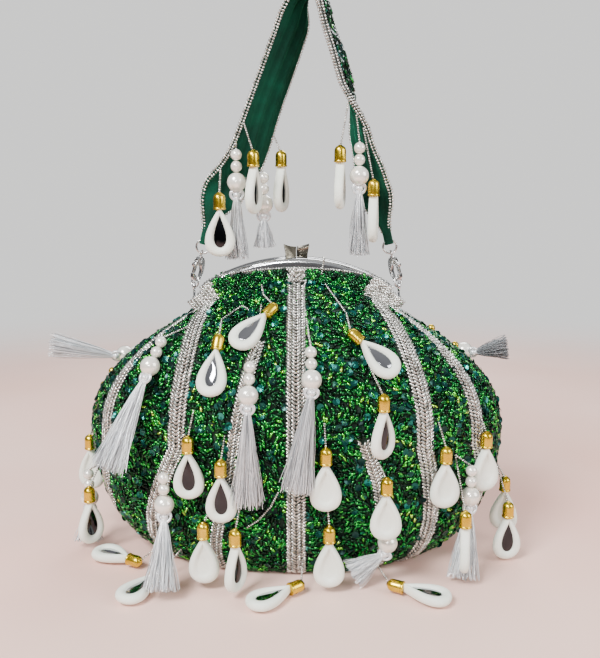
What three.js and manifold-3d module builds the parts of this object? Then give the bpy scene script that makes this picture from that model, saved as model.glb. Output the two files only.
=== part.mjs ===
// Beaded evening clutch with a snap frame, a lined strap on clasps, and hanging drops and tassels.
// Millimetres, +Z up, -Y is the front. The origin is the centre of the flat base, on its underside.
import * as THREE from "three";
import { mergeVertices } from "three/addons/utils/BufferGeometryUtils.js";
import Module from "manifold-3d";

const wasm = await Module();
wasm.setup();

// Clearance between pieces that touch
const clearance = 0.3;

// Bag body
const bellyHalfWidth = 118;
const bellyHalfDepth = 62;
const baseHalfWidth = 74;
const baseHalfDepth = 43;
const mouthBesideEars = 1.3;
const mouthHalfDepth = 7.5;
const bellyLevel = 0.47;
const neckLevel = 0.972;
const neckCurve = 1.35;
const mouthSquareness = 0.6;
const panelThickness = 3;
const baseGap = 0.9;
const liningThickness = 0.8;
const liningGap = 0.8;
const liningEase = 4.5;
const braidWidth = 11;
const braidHeight = 1.8;
const braidSweep = 4;

// Metal frame
const frameCrest = 170;
const frameRadius = 100;
const frameHalfDepth = 9;
const frameHalfAngle = 33;
const frameSheet = 1.1;
const frameBand = 2;
const framePlate = 10.5;
const frameRidge = 0.5;
const rimBelowBand = 6;

// Hinge at the two ends of the frame
const hingeBelowFeet = 0.261;
const hingeEarRadius = 3.5;
const hingeEarSheet = 1.2;
const rivetRadius = 1.1;
const rivetHeadRadius = 2.2;
const rivetHeadHeight = 0.7;
const earBesideFrame = 1.8361;
const earRoofGap = 0.5;
const armBelowHinge = 0.6;

// Snap tabs on the crest
const tabHeight = 7.5;
const tabHalfWidth = 3.6;
const tabNeckHalfWidth = 2.5;
const tabDepth = 4;
const tabLean = 20;

// Strap eyes, rings and clasps
const eyeRadius = 2.3;
const eyeWire = 0.6;
const eyeSetback = -4;
const eyeRise = 8.7;
const frameRingRadius = 3;
const frameRingWire = 0.6;
const strapRingRadius = 3.8;
const strapRingWire = 0.55;
const hardwareLean = 14;
const linkYaw = 45;
const claspThickness = 2.6;
const claspLength = 11.2;
const claspHalfWidth = 3.5;
const claspWall = 1.5;
const claspTip = 1.4;
const claspShoulder = 6.6;
const leverGap = clearance + 0.05;
const leverThickness = 1.3;
const leverPivotAcross = 2;
const leverPivotAlong = 8.3;
const pinRadius = 0.5;
const swivelRadius = 1.7;
const swivelWire = 0.5;
const swivelPostRadius = 1.2;
const swivelPostHeight = 1.6;

// Strap
const strapWidth = 24;
const strapThickness = 2;
const strapRollThickness = 3.2;
const strapRollWidth = 2.4;
const strapEndWidth = 5;
const strapTaper = 34;
const strapHeight = 134;
const strapLoopWall = 1.3;

// Drops, tassels and their bead strands
const strandRadius = 0.8;
const capRadius = 3.4;
const capLength = 9;
const capShoulder = 2.5;
const capTopRadius = 1.8;
const capOverlap = 1.8;
const dropLength = 27;
const dropWidth = 19;
const dropThickness = 5;
const dropRecess = 1;
const smallPearlRadius = 3.1;
const largePearlRadius = 5.3;
const knotLength = 4;
const tasselLength = 48;
const strapTasselLength = 33;
const tasselEndRadius = 6;
const knotRadius = 2.2;
const pendantStandOff = 1.6;

// Derived places that several pieces share
const degrees = Math.PI / 180;
const frameCentre = frameCrest - frameRadius;
const frameEnd = frameRadius * Math.sin(frameHalfAngle * degrees);
const frameFeet = frameCentre + (frameRadius - framePlate) * Math.cos(frameHalfAngle * degrees);
const hingeHeight = frameFeet - hingeBelowFeet;
const rearEarInnerFace = frameEnd + earBesideFrame;
const mouthHalfWidth = rearEarInnerFace - mouthBesideEars;
const rimRadius = frameRadius - frameBand - rimBelowBand;
const frontEarInnerFace = rearEarInnerFace + hingeEarSheet + clearance;
const eyeAcross = frontEarInnerFace + hingeEarSheet / 2;
const eyeHeight = hingeHeight + eyeRise;
const parting = clearance / 2;
const pearlString = 4 * smallPearlRadius + 2 * largePearlRadius;

const upward = new THREE.Vector3(0, 0, 1);

const materials = {
  chrome: { color: 0xd4d6d8, roughness: 0.15, metalness: 1 },
  steel: { color: 0x9fa2a3, roughness: 0.3, metalness: 1 },
  beads: { color: 0x0f5a26, roughness: 0.35, metalness: 0.1 },
  cloth: { color: 0x0a3a1c, roughness: 0.9, metalness: 0 },
  velvet: { color: 0x064a26, roughness: 0.95, metalness: 0 },
  drop: { color: 0xe6e6dc, roughness: 0.6, metalness: 0 },
  silk: { color: 0xc9cbcc, roughness: 0.5, metalness: 0 },
};

const clutch = new THREE.Group();

function addMesh(name, look, geometry) {
  geometry.computeVertexNormals();
  const mesh = new THREE.Mesh(geometry, new THREE.MeshStandardMaterial(materials[look]));
  mesh.name = name;
  clutch.add(mesh);
  return mesh;
}

// The point where a line from outside first meets one of the meshes
function firstMeeting(meshes, outside, direction) {
  const [hit] = new THREE.Raycaster(outside, direction).intersectObjects(meshes);
  return hit.point;
}

// Solids from closed geometry, and back
function signedVolume(position, index) {
  let sum = 0;
  const a = new THREE.Vector3();
  const b = new THREE.Vector3();
  const c = new THREE.Vector3();
  for (let i = 0; i < index.count; i += 3) {
    a.fromBufferAttribute(position, index.getX(i));
    b.fromBufferAttribute(position, index.getX(i + 1));
    c.fromBufferAttribute(position, index.getX(i + 2));
    sum += a.dot(b.cross(c));
  }
  return sum / 6;
}

function welded(geometry) {
  const bare = geometry.clone();
  bare.deleteAttribute("normal");
  bare.deleteAttribute("uv");
  const merged = mergeVertices(bare, 1e-4);
  if (signedVolume(merged.attributes.position, merged.index) < 0) {
    merged.index.array.reverse();
  }
  return merged;
}

function solidOf(geometry) {
  const merged = welded(geometry);
  const vertProperties = Float32Array.from(merged.attributes.position.array);
  const triVerts = Uint32Array.from(merged.index.array);
  return new wasm.Manifold(new wasm.Mesh({ numProp: 3, vertProperties, triVerts }));
}

function geometryOf(solid) {
  const mesh = solid.getMesh();
  const geometry = new THREE.BufferGeometry();
  geometry.setAttribute("position", new THREE.BufferAttribute(mesh.vertProperties, 3));
  geometry.setIndex(new THREE.BufferAttribute(mesh.triVerts, 1));
  return geometry;
}

function join(geometries) {
  return geometries.map(solidOf).reduce((whole, piece) => whole.add(piece));
}

// Basic forms
function block(low, high) {
  const size = high.map((value, axis) => value - low[axis]);
  const geometry = new THREE.BoxGeometry(...size);
  return geometry.translate(...low.map((value, axis) => value + size[axis] / 2));
}

function rod(radius, length, sides) {
  return new THREE.CylinderGeometry(radius, radius, length, sides).rotateZ(Math.PI / 2);
}

function turned(profile, sides) {
  const points = profile.map(([radius, height]) => new THREE.Vector2(radius, height));
  return new THREE.LatheGeometry(points, sides).rotateX(Math.PI / 2);
}

function loft(rings, capOutline) {
  const count = rings[0].length;
  const positions = rings.flat().flatMap((point) => point.toArray());
  const index = [];
  for (let ring = 0; ring + 1 < rings.length; ring += 1) {
    for (let i = 0; i < count; i += 1) {
      const a = ring * count + i;
      const b = ring * count + ((i + 1) % count);
      index.push(a, b, a + count, b, b + count, a + count);
    }
  }
  const last = (rings.length - 1) * count;
  const outline = THREE.ShapeUtils.area(capOutline);
  for (const [a, b, c] of THREE.ShapeUtils.triangulateShape(capOutline, [])) {
    const facet = THREE.ShapeUtils.area([capOutline[a], capOutline[b], capOutline[c]]);
    const [second, third] = facet * outline > 0 ? [b, c] : [c, b];
    index.push(a, third, second, last + a, last + second, last + third);
  }
  const geometry = new THREE.BufferGeometry();
  geometry.setAttribute("position", new THREE.Float32BufferAttribute(positions, 3));
  geometry.setIndex(index);
  return geometry;
}

function wire(start, end, radius, sides = 3) {
  const axis = end.clone().sub(start);
  const bar = new THREE.CylinderGeometry(radius, radius, axis.length(), sides);
  const turn = new THREE.Quaternion().setFromUnitVectors(new THREE.Vector3(0, 1, 0), axis.normalize());
  const middle = start.clone().add(end).multiplyScalar(0.5);
  return bar.applyQuaternion(turn).translate(...middle.toArray());
}

function basis(origin, up, face) {
  const zAxis = up.clone().normalize();
  const yAxis = face.clone().negate();
  yAxis.addScaledVector(zAxis, -yAxis.dot(zAxis)).normalize();
  const xAxis = yAxis.clone().cross(zAxis);
  return new THREE.Matrix4().makeBasis(xAxis, yAxis, zAxis).setPosition(origin);
}

// Bag surface: the angle runs round the bag from the front centre, the level from base to rim
function rimHeight(angle) {
  const across = mouthHalfWidth * Math.sin(angle);
  return frameCentre + Math.sqrt(rimRadius ** 2 - across ** 2);
}

function neckShare(level) {
  return THREE.MathUtils.clamp((level - bellyLevel) / (neckLevel - bellyLevel), 0, 1);
}

function reach(level, base, belly, mouth) {
  if (level < bellyLevel) {
    return base + (belly - base) * Math.sqrt(1 - (1 - level / bellyLevel) ** 2);
  }
  return mouth + (belly - mouth) * Math.cos((Math.PI / 2) * neckShare(level) ** neckCurve);
}

function bagPoint(angle, level, grow = 0) {
  const wide = reach(level, baseHalfWidth, bellyHalfWidth, mouthHalfWidth) + grow;
  const deep = reach(level, baseHalfDepth, bellyHalfDepth, mouthHalfDepth) + grow;
  const squareness = 1 - mouthSquareness * neckShare(level) ** 3;
  const cosine = Math.cos(angle);
  const depth = deep * Math.sign(cosine) * Math.abs(cosine) ** squareness;
  const floor = Math.max(-grow, 0);
  const height = floor + level * (rimHeight(angle) - floor);
  return new THREE.Vector3(wide * Math.sin(angle), -depth, height);
}

function bagNormal(angle, level) {
  const step = 0.01;
  const side = bagPoint(angle + step, level).sub(bagPoint(angle - step, level));
  const rise = bagPoint(angle, Math.min(level + step, 1)).sub(bagPoint(angle, level - step));
  return side.cross(rise).normalize();
}

// Plaited braids run from the frame to the foot of each panel
const middleBraid = { top: 0, belly: 0, foot: 0, topLimit: 9 };
const rightBraids = [
  middleBraid,
  { top: 52, belly: 35, foot: 46, topLimit: 9 },
  { top: 71, belly: 57, foot: 78, topLimit: 4 },
];
const leftBraids = [
  middleBraid,
  { top: 60, belly: 32, foot: 55, topLimit: 9 },
  { top: 76, belly: 63, foot: 82, topLimit: 4 },
];

function braidAngle(braid, level) {
  const end = level < bellyLevel ? braid.foot : braid.top;
  const share = level < bellyLevel ? 1 - level / bellyLevel : neckShare(level) ** braidSweep;
  return (braid.belly + (end - braid.belly) * share) * degrees;
}

function braidHalfAngle(braid, level) {
  const angle = braidAngle(braid, level);
  const step = 0.01;
  const arc = bagPoint(angle + step, level).distanceTo(bagPoint(angle - step, level)) / (2 * step);
  return Math.min(braidWidth / 2 / arc, braid.topLimit * degrees);
}

// Columns across half a panel: each braid is a low ridge with plain cloth between
function halfColumns(braids, level, ridge) {
  const columns = [];
  braids.forEach((braid, order) => {
    const centre = braidAngle(braid, level);
    const half = braidHalfAngle(braid, level);
    if (order > 0) {
      const before = columns.at(-1)[0];
      columns.push([(before + centre - half) / 2, 0], [centre - half, 0]);
      columns.push([centre, ridge]);
    }
    columns.push([centre + half, 0]);
  });
  const seam = clearance / 2 / bagPoint(Math.PI / 2, level).x;
  columns.push([Math.PI / 2 - seam, 0]);
  return columns;
}

function panelColumns(level, ridge) {
  const right = halfColumns(rightBraids, level, ridge);
  const left = halfColumns(leftBraids, level, ridge).map(([angle, height]) => [-angle, height]).reverse();
  return left.concat([[0, ridge]], right);
}

function shell(outerRows, innerRows) {
  const rows = outerRows.length;
  const columns = outerRows[0].length;
  const positions = outerRows.concat(innerRows).flat().flatMap((point) => point.toArray());
  const index = [];
  const outer = (row, column) => row * columns + column;
  const inner = (row, column) => rows * columns + row * columns + column;
  const quad = (a, b, c, d) => index.push(a, b, c, a, c, d);
  for (let row = 0; row + 1 < rows; row += 1) {
    for (let column = 0; column + 1 < columns; column += 1) {
      quad(outer(row, column), outer(row, column + 1), outer(row + 1, column + 1), outer(row + 1, column));
      quad(inner(row, column), inner(row + 1, column), inner(row + 1, column + 1), inner(row, column + 1));
    }
    quad(outer(row, 0), outer(row + 1, 0), inner(row + 1, 0), inner(row, 0));
    const end = columns - 1;
    quad(outer(row, end), inner(row, end), inner(row + 1, end), outer(row + 1, end));
  }
  for (let column = 0; column + 1 < columns; column += 1) {
    quad(outer(0, column), inner(0, column), inner(0, column + 1), outer(0, column + 1));
    const top = rows - 1;
    quad(outer(top, column), outer(top, column + 1), inner(top, column + 1), inner(top, column));
  }
  const geometry = new THREE.BufferGeometry();
  geometry.setAttribute("position", new THREE.Float32BufferAttribute(positions, 3));
  geometry.setIndex(index);
  return geometry;
}

const panelLevels = [0, 0.07, 0.24, bellyLevel, 0.66, 0.83, neckLevel, 1];

function panel(name, turn) {
  const outerRows = [];
  const innerRows = [];
  for (const level of panelLevels) {
    const ridge = level > 0.01 && level < neckLevel ? braidHeight : 0;
    const columns = panelColumns(level, ridge);
    outerRows.push(columns.map(([angle, height]) => bagPoint(angle + turn, level, height)));
    innerRows.push(columns.map(([angle]) => bagPoint(angle + turn, level, -panelThickness)));
  }
  return addMesh(name, "beads", welded(shell(outerRows, innerRows)));
}

function ellipsePoints(halfWidth, halfDepth, sides) {
  const points = [];
  for (let i = 0; i < sides; i += 1) {
    const angle = (i / sides) * 2 * Math.PI;
    points.push(new THREE.Vector2(halfWidth * Math.cos(angle), halfDepth * Math.sin(angle)));
  }
  return points;
}

// The base plate fills the oval that the panels leave at their foot
function basePanel() {
  const margin = panelThickness + baseGap;
  const outline = ellipsePoints(baseHalfWidth - margin, baseHalfDepth - margin, 20);
  const shape = new THREE.Shape(outline);
  const plate = new THREE.ExtrudeGeometry(shape, { depth: panelThickness, bevelEnabled: false });
  addMesh("base_panel", "cloth", welded(plate));
}

// The lining is one thin bag inside the panels, open at the mouth, looser below the neck
function lining() {
  const sides = 16;
  const levels = [0, 0.12, bellyLevel, 0.72, 0.88, neckLevel, 0.99];
  const ringAt = (level, depth) => {
    const loose = liningEase * (1 - neckShare(level) ** 8);
    const ring = [];
    for (let i = 0; i < sides; i += 1) {
      const angle = (i / sides) * 2 * Math.PI;
      ring.push(bagPoint(angle, level, -panelThickness - liningGap - loose - depth));
    }
    return ring;
  };
  const rings = levels.map((level) => ringAt(level, 0));
  rings.push(...levels.map((level) => ringAt(level, liningThickness)).reverse());
  addMesh("lining", "velvet", welded(loft(rings, ellipsePoints(1, 1, sides))));
}

// Frame halves: an inverted channel bent to an arc, with hinge ears at its ends
function channelSection(side) {
  const front = -frameHalfDepth;
  const middle = frameRadius - framePlate / 2;
  const foot = frameRadius - framePlate;
  const roof = frameRadius - frameBand;
  const section = [
    [front, foot],
    [front, middle - 0.8],
    [front - frameRidge, middle],
    [front, middle + 0.8],
    [front, frameRadius - 1],
    [front + 1, frameRadius],
    [-parting, frameRadius],
    [-parting, foot],
    [-parting - frameSheet, foot],
    [-parting - frameSheet, roof],
    [front + frameSheet, roof],
    [front + frameSheet, foot],
  ];
  return section.map(([depth, radius]) => new THREE.Vector2(depth * side, radius));
}

function channel(side) {
  const section = channelSection(side);
  const steps = 10;
  const rings = [];
  for (let step = 0; step <= steps; step += 1) {
    const bend = ((step / steps) * 2 - 1) * frameHalfAngle * degrees;
    rings.push(section.map(({ x: depth, y: radius }) => {
      return new THREE.Vector3(radius * Math.sin(bend), depth, frameCentre + radius * Math.cos(bend));
    }));
  }
  return loft(rings, section);
}

function snapTab(side) {
  const shape = new THREE.Shape();
  shape.moveTo(-tabNeckHalfWidth, -1);
  shape.lineTo(tabNeckHalfWidth, -1);
  shape.quadraticCurveTo(tabNeckHalfWidth, tabHeight / 2, tabHalfWidth, tabHeight);
  shape.quadraticCurveTo(0, tabHeight * 0.72, -tabHalfWidth, tabHeight);
  shape.quadraticCurveTo(-tabNeckHalfWidth, tabHeight / 2, -tabNeckHalfWidth, -1);
  const tab = new THREE.ExtrudeGeometry(shape, { depth: tabDepth, bevelEnabled: false, curveSegments: 3 });
  tab.translate(0, 0, -tabDepth / 2).rotateX(Math.PI / 2);
  tab.rotateX(-side * tabLean * degrees);
  const across = -side * (tabHalfWidth + parting);
  const depth = -side * (tabDepth / 2 + parting + 0.8);
  return tab.translate(across, depth, frameCrest);
}

function frameHalf(name, side, earInnerFace) {
  const pieces = [channel(side), snapTab(side)];
  const holes = [];
  const plateFace = -side * frameHalfDepth;
  const plateBack = plateFace + side * frameSheet;
  const depthRange = [Math.min(plateFace, plateBack), Math.max(plateFace, plateBack)];
  const earRange = [Math.min(plateFace, 0), Math.max(plateFace, 0)];
  const earOuterFace = earInnerFace + hingeEarSheet;
  const armStart = frameEnd - frameBand - framePlate * 0.4;
  for (const hand of [-1, 1]) {
    const span = (from, to) => [Math.min(hand * from, hand * to), Math.max(hand * from, hand * to)];
    const arm = span(armStart, earOuterFace);
    const ear = span(earInnerFace, earOuterFace);
    const earMiddle = (hand * (earInnerFace + earOuterFace)) / 2;
    const low = hingeHeight - armBelowHinge;
    const high = hingeHeight + hingeEarRadius - earRoofGap;
    const eyeFoot = eyeHeight - eyeRadius;
    pieces.push(block([arm[0], depthRange[0], low], [arm[1], depthRange[1], high]));
    pieces.push(block([ear[0], earRange[0], low], [ear[1], earRange[1], high]));
    pieces.push(rod(hingeEarRadius, hingeEarSheet, 10).translate(earMiddle, 0, hingeHeight));
    holes.push(rod(rivetRadius + clearance, hingeEarSheet * 3, 8).translate(earMiddle, 0, hingeHeight));
    if (side > 0) {
      const eye = new THREE.TorusGeometry(eyeRadius, eyeWire, 5, 8).rotateY(Math.PI / 2);
      pieces.push(eye.translate(hand * eyeAcross, eyeSetback, eyeHeight));
      const stem = [eyeSetback - eyeWire, eyeSetback + eyeWire];
      pieces.push(block([ear[0], stem[0], low], [ear[1], stem[1], eyeFoot]));
    }
  }
  const solid = holes.map(solidOf).reduce((whole, hole) => whole.subtract(hole), join(pieces));
  addMesh(name, "chrome", geometryOf(solid));
}

function hingeRivet(name, hand) {
  const innerFace = rearEarInnerFace - clearance;
  const outerFace = frontEarInnerFace + hingeEarSheet + clearance;
  const profile = [
    [0, innerFace - rivetHeadHeight],
    [rivetHeadRadius, innerFace - rivetHeadHeight],
    [rivetHeadRadius, innerFace],
    [rivetRadius, innerFace],
    [rivetRadius, outerFace],
    [rivetHeadRadius, outerFace],
    [rivetHeadRadius * 0.7, outerFace + rivetHeadHeight],
    [0, outerFace + rivetHeadHeight],
  ];
  const rivet = turned(profile, 8).rotateY((hand * Math.PI) / 2).translate(0, 0, hingeHeight);
  addMesh(name, "steel", welded(rivet));
}

// Links at one end of the strap, measured up from the eye on the frame
const ringTop = 2 * frameRingRadius;
const swivelAlong = claspLength + 0.2 + swivelRadius + swivelWire;
const strapRingFoot = ringTop + swivelAlong;
const strapRingCentre = strapRingFoot + strapRingRadius;
const strapRingTop = strapRingFoot + 2 * strapRingRadius;

function hardwarePlace(hand) {
  const place = new THREE.Matrix4().makeTranslation(hand * eyeAcross, eyeSetback, eyeHeight);
  return place.multiply(new THREE.Matrix4().makeRotationY(-hand * hardwareLean * degrees));
}

function claspPlace(hand) {
  const yaw = (hand * linkYaw - 90) * degrees;
  const place = hardwarePlace(hand).multiply(new THREE.Matrix4().makeTranslation(0, 0, ringTop));
  return place.multiply(new THREE.Matrix4().makeRotationZ(yaw));
}

// Clasp outlines are drawn with the ring wire at the origin, then stood upright
function upright(shape, thickness, curveSegments = 3) {
  const options = { depth: thickness, bevelEnabled: false, curveSegments };
  const plate = new THREE.ExtrudeGeometry(shape, options);
  return plate.translate(0, 0, -thickness / 2).rotateX(Math.PI / 2);
}

function claspBody(name, hand) {
  const seat = frameRingWire + 2 * clearance;
  const bottom = -seat - claspWall;
  const inside = claspHalfWidth - claspWall;
  const shape = new THREE.Shape();
  shape.moveTo(claspHalfWidth, claspTip);
  shape.lineTo(inside, claspTip);
  shape.quadraticCurveTo(inside, -seat, 0, -seat);
  shape.quadraticCurveTo(-inside, -seat, -inside, claspShoulder / 2);
  shape.lineTo(-inside + 1, claspShoulder);
  shape.lineTo(claspHalfWidth - 0.4, claspShoulder);
  shape.quadraticCurveTo(claspHalfWidth, claspLength * 0.85, claspWall, claspLength);
  shape.lineTo(-claspWall, claspLength);
  shape.quadraticCurveTo(-claspHalfWidth, claspLength * 0.85, -claspHalfWidth, claspShoulder / 2);
  shape.quadraticCurveTo(-claspHalfWidth, bottom, 0, bottom);
  shape.quadraticCurveTo(claspHalfWidth, bottom, claspHalfWidth, claspTip);
  const slotHalf = leverThickness / 2 + clearance;
  const slot = block(
    [leverPivotAcross - 1.4, -slotHalf, claspShoulder - 1],
    [claspHalfWidth + 2, slotHalf, leverPivotAlong + 1.5],
  );
  const hole = wire(
    new THREE.Vector3(leverPivotAcross, -claspThickness, leverPivotAlong),
    new THREE.Vector3(leverPivotAcross, claspThickness, leverPivotAlong),
    pinRadius + clearance,
    8,
  );
  const hook = solidOf(upright(shape, claspThickness)).subtract(solidOf(slot)).subtract(solidOf(hole));
  const postProfile = [
    [0, 0],
    [swivelPostRadius, 0],
    [swivelPostRadius, swivelPostHeight],
    [0, swivelPostHeight],
  ];
  const post = turned(postProfile, 8).translate(0, 0, claspLength - swivelPostHeight / 2);
  const swivel = new THREE.TorusGeometry(swivelRadius, swivelWire, 5, 10).rotateY(Math.PI / 2);
  const yawBack = new THREE.Matrix4().makeRotationZ(-(hand * linkYaw - 90) * degrees);
  swivel.applyMatrix4(yawBack).translate(0, 0, swivelAlong);
  const body = geometryOf(hook.add(solidOf(post)).add(solidOf(swivel)));
  addMesh(name, "steel", body.applyMatrix4(claspPlace(hand)));
}

function claspLever(name, hand) {
  const across = leverPivotAcross;
  const along = leverPivotAlong;
  const foot = claspTip + leverGap;
  const thumbLow = claspShoulder - 1.4;
  const thumbHigh = claspShoulder + 0.4;
  const shape = new THREE.Shape();
  shape.moveTo(across - 0.1, foot);
  shape.lineTo(claspHalfWidth, foot);
  shape.lineTo(claspHalfWidth - 0.1, thumbLow);
  shape.quadraticCurveTo(claspHalfWidth + 1.4, thumbLow, claspHalfWidth + 1.2, thumbHigh);
  shape.lineTo(across + 1, along);
  shape.quadraticCurveTo(across + 1, along + 1, across, along + 1);
  shape.quadraticCurveTo(across - 1, along + 1, across - 1, along);
  shape.lineTo(across - 0.5, claspShoulder - 0.6);
  const hole = wire(
    new THREE.Vector3(across, -claspThickness, along),
    new THREE.Vector3(across, claspThickness, along),
    pinRadius + clearance,
    8,
  );
  const lever = geometryOf(solidOf(upright(shape, leverThickness)).subtract(solidOf(hole)));
  addMesh(name, "steel", lever.applyMatrix4(claspPlace(hand)));
}

function claspPin(name, hand) {
  const half = claspThickness / 2 + 0.2;
  const start = new THREE.Vector3(leverPivotAcross, -half, leverPivotAlong);
  const end = new THREE.Vector3(leverPivotAcross, half, leverPivotAlong);
  addMesh(name, "steel", welded(wire(start, end, pinRadius, 8)).applyMatrix4(claspPlace(hand)));
}

function linkRing(radius, wireRadius, yaw, height) {
  const ring = new THREE.TorusGeometry(radius, wireRadius, 5, 10).rotateX(Math.PI / 2);
  return ring.rotateZ(yaw).translate(0, 0, height);
}

function hardware(side, hand) {
  const frameRing = linkRing(frameRingRadius, frameRingWire, hand * linkYaw * degrees, frameRingRadius);
  addMesh(`frame_ring_${side}`, "steel", welded(frameRing).applyMatrix4(hardwarePlace(hand)));
  claspBody(`clasp_${side}`, hand);
  claspLever(`clasp_lever_${side}`, hand);
  claspPin(`clasp_pin_${side}`, hand);
  const strapRing = linkRing(strapRingRadius, strapRingWire, 0, strapRingCentre);
  addMesh(`strap_ring_${side}`, "steel", welded(strapRing).applyMatrix4(hardwarePlace(hand)));
}

// Strap centre line: share of the half span between the rings, and share of the strap's height
const strapRoute = [
  [-0.87, 0.15], [-0.55, 0.33], [-0.33, 0.55], [-0.05, 0.84], [0.04, 0.95],
  [0.15, 1], [0.26, 0.95], [0.33, 0.86], [0.46, 0.72], [0.59, 0.55], [0.73, 0.35], [0.87, 0.17],
];

function strapCurve() {
  const foot = -strapRingWire - 2 * clearance - strapLoopWall;
  const at = (hand, along) => new THREE.Vector3(0, 0, strapRingTop + along).applyMatrix4(hardwarePlace(hand));
  const left = at(-1, 0);
  const right = at(1, 0);
  const points = strapRoute.map(([across, rise]) => {
    return new THREE.Vector3(across * right.x, eyeSetback, right.z + rise * strapHeight);
  });
  return new THREE.CatmullRomCurve3([at(-1, foot), left, at(-1, 4), ...points, at(1, 4), right, at(1, foot)]);
}

const strapLine = strapCurve();
const strapLength = strapLine.getLength();

// Turn of the band about its centre line, by share of its length
const strapTwist = [
  [0, 90], [0.05, 88], [0.16, 55], [0.3, 46], [0.43, 44],
  [0.55, -15], [0.68, -20], [0.8, 24], [0.88, 40], [0.97, 88], [1, 90],
];

function twistAt(share) {
  let key = 0;
  while (key + 2 < strapTwist.length && strapTwist[key + 1][0] < share) {
    key += 1;
  }
  const [from, startTurn] = strapTwist[key];
  const [to, endTurn] = strapTwist[key + 1];
  const blend = THREE.MathUtils.smoothstep(share, from, to);
  return (startTurn + (endTurn - startTurn) * blend) * degrees;
}

function strapFrame(share) {
  const point = strapLine.getPointAt(share);
  const along = strapLine.getTangentAt(share);
  const inward = new THREE.Vector3(along.z, 0, -along.x).normalize();
  const backward = new THREE.Vector3(0, 1, 0);
  const turn = twistAt(share);
  const across = backward.clone().multiplyScalar(Math.cos(turn)).addScaledVector(inward, Math.sin(turn));
  const normal = inward.clone().multiplyScalar(Math.cos(turn)).addScaledVector(backward, -Math.sin(turn));
  const end = Math.min(share, 1 - share) * strapLength;
  const spread = THREE.MathUtils.smoothstep(end, 6, strapTaper);
  const width = strapEndWidth + (strapWidth - strapEndWidth) * spread;
  const flat = THREE.MathUtils.smoothstep(end, 4, 14);
  const loopThickness = 2 * (strapRingWire + 2 * clearance + strapLoopWall);
  const thickness = loopThickness + (strapThickness - loopThickness) * flat;
  const roll = Math.max(thickness, strapRollThickness);
  return { point, across, normal, width, thickness, roll };
}

function strapSection({ width, thickness, roll }) {
  const half = width / 2;
  const rollMiddle = half - Math.min(strapRollWidth, half * 0.8) / 2;
  const rollInside = half - Math.min(strapRollWidth, half * 0.8);
  const quarter = [[half, thickness / 4], [rollMiddle, roll / 2], [rollInside, thickness / 2]];
  const upper = quarter.concat(quarter.map(([x, y]) => [-x, y]).reverse());
  const lower = upper.map(([x, y]) => [-x, -y]);
  return upper.concat(lower).map(([x, y]) => new THREE.Vector2(x, y));
}

function strap() {
  const shares = [0, 0.016, 0.03, 0.06, 0.1, 0.16, 0.23, 0.31, 0.38, 0.43, 0.465];
  const mirrored = shares.map((share) => 1 - share).reverse();
  const frames = shares.concat(0.49, 0.515, mirrored).map(strapFrame);
  const rings = frames.map((frame) => strapSection(frame).map(({ x, y }) => {
    return frame.point.clone().addScaledVector(frame.across, x).addScaledVector(frame.normal, y);
  }));
  let band = solidOf(loft(rings, strapSection(frames[0])));
  for (const hand of [-1, 1]) {
    const room = linkRing(strapRingRadius, strapRingWire + clearance + 0.05, 0, strapRingCentre);
    band = band.subtract(solidOf(room.applyMatrix4(hardwarePlace(hand))));
  }
  return addMesh("strap", "velvet", geometryOf(band));
}

// A drop hangs from the top of its cap at the origin, with its face towards -Y
function dropOutline(scale, depth) {
  const points = [];
  const sides = 9;
  for (let i = 0; i < sides; i += 1) {
    const angle = (i / sides) * 2 * Math.PI;
    const slim = Math.sin(angle / 2) ** 1.3;
    const across = (dropWidth / 2) * 1.18 * Math.sin(angle) * slim;
    const along = (dropLength / 2) * Math.cos(angle);
    points.push(new THREE.Vector3(across * scale, depth, along * scale));
  }
  return points;
}

function dropPieces() {
  const half = dropThickness / 2;
  const rings = [
    dropOutline(0.74, half),
    dropOutline(1, 0),
    dropOutline(0.8, -half),
    dropOutline(0.52, -half + dropRecess),
  ];
  const flatOutline = dropOutline(1, 0).map(({ x, z }) => new THREE.Vector2(x, z));
  const body = loft(rings, flatOutline).translate(0, 0, -capLength + capOverlap - dropLength / 2);
  const cap = turned([
    [0, -capLength],
    [capRadius, -capLength],
    [capRadius, -capShoulder],
    [capTopRadius, 0],
    [0, 0],
  ], 6);
  return [body, cap];
}

// A tassel hangs from the top of its first pearl: two small pearls, a large one, a knot and silk
function pearlProfile(radius, centre) {
  const shoulder = 0.83 * radius;
  return [[0.56 * radius, centre - shoulder], [radius, centre], [0.56 * radius, centre + shoulder]];
}

function tasselPieces(length, hairTurn) {
  const pearls = turned([
    [0, -pearlString],
    ...pearlProfile(largePearlRadius, -pearlString + largePearlRadius),
    ...pearlProfile(smallPearlRadius, -3 * smallPearlRadius),
    ...pearlProfile(smallPearlRadius, -smallPearlRadius),
    [0, 0],
  ], 6);
  const silk = turned([
    [0, -knotLength - length],
    [tasselEndRadius, -knotLength - length],
    [knotRadius, -knotLength],
    [knotRadius * 0.7, 1],
    [0, 1],
  ], 6);
  silk.applyMatrix4(hairTurn).translate(0, 0, -pearlString);
  return [pearls, silk];
}

function hairLean(side, front) {
  const swing = new THREE.Matrix4().makeRotationY(side * degrees);
  return new THREE.Matrix4().makeRotationX(-front * degrees).multiply(swing);
}

function pendantSolid(kind, anchor, place, options = {}) {
  const { length = tasselLength, side = 0, front = 0 } = options;
  const pieces = kind === "drop" ? dropPieces() : tasselPieces(length, hairLean(side, front));
  const top = new THREE.Vector3(0, 0, -1.5).applyMatrix4(place);
  const strand = wire(anchor, top, strandRadius);
  return join([...pieces.map((piece) => piece.applyMatrix4(place)), strand]);
}

// Strand end on the bag's cloth, a clearance off its surface
function bagAnchor(angle, level) {
  const normal = bagNormal(angle, level);
  const outside = bagPoint(angle, level).addScaledVector(normal, bellyHalfDepth);
  const cloth = firstMeeting(bagPanels, outside, normal.clone().negate());
  return cloth.addScaledVector(normal, strandRadius + clearance);
}

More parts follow.
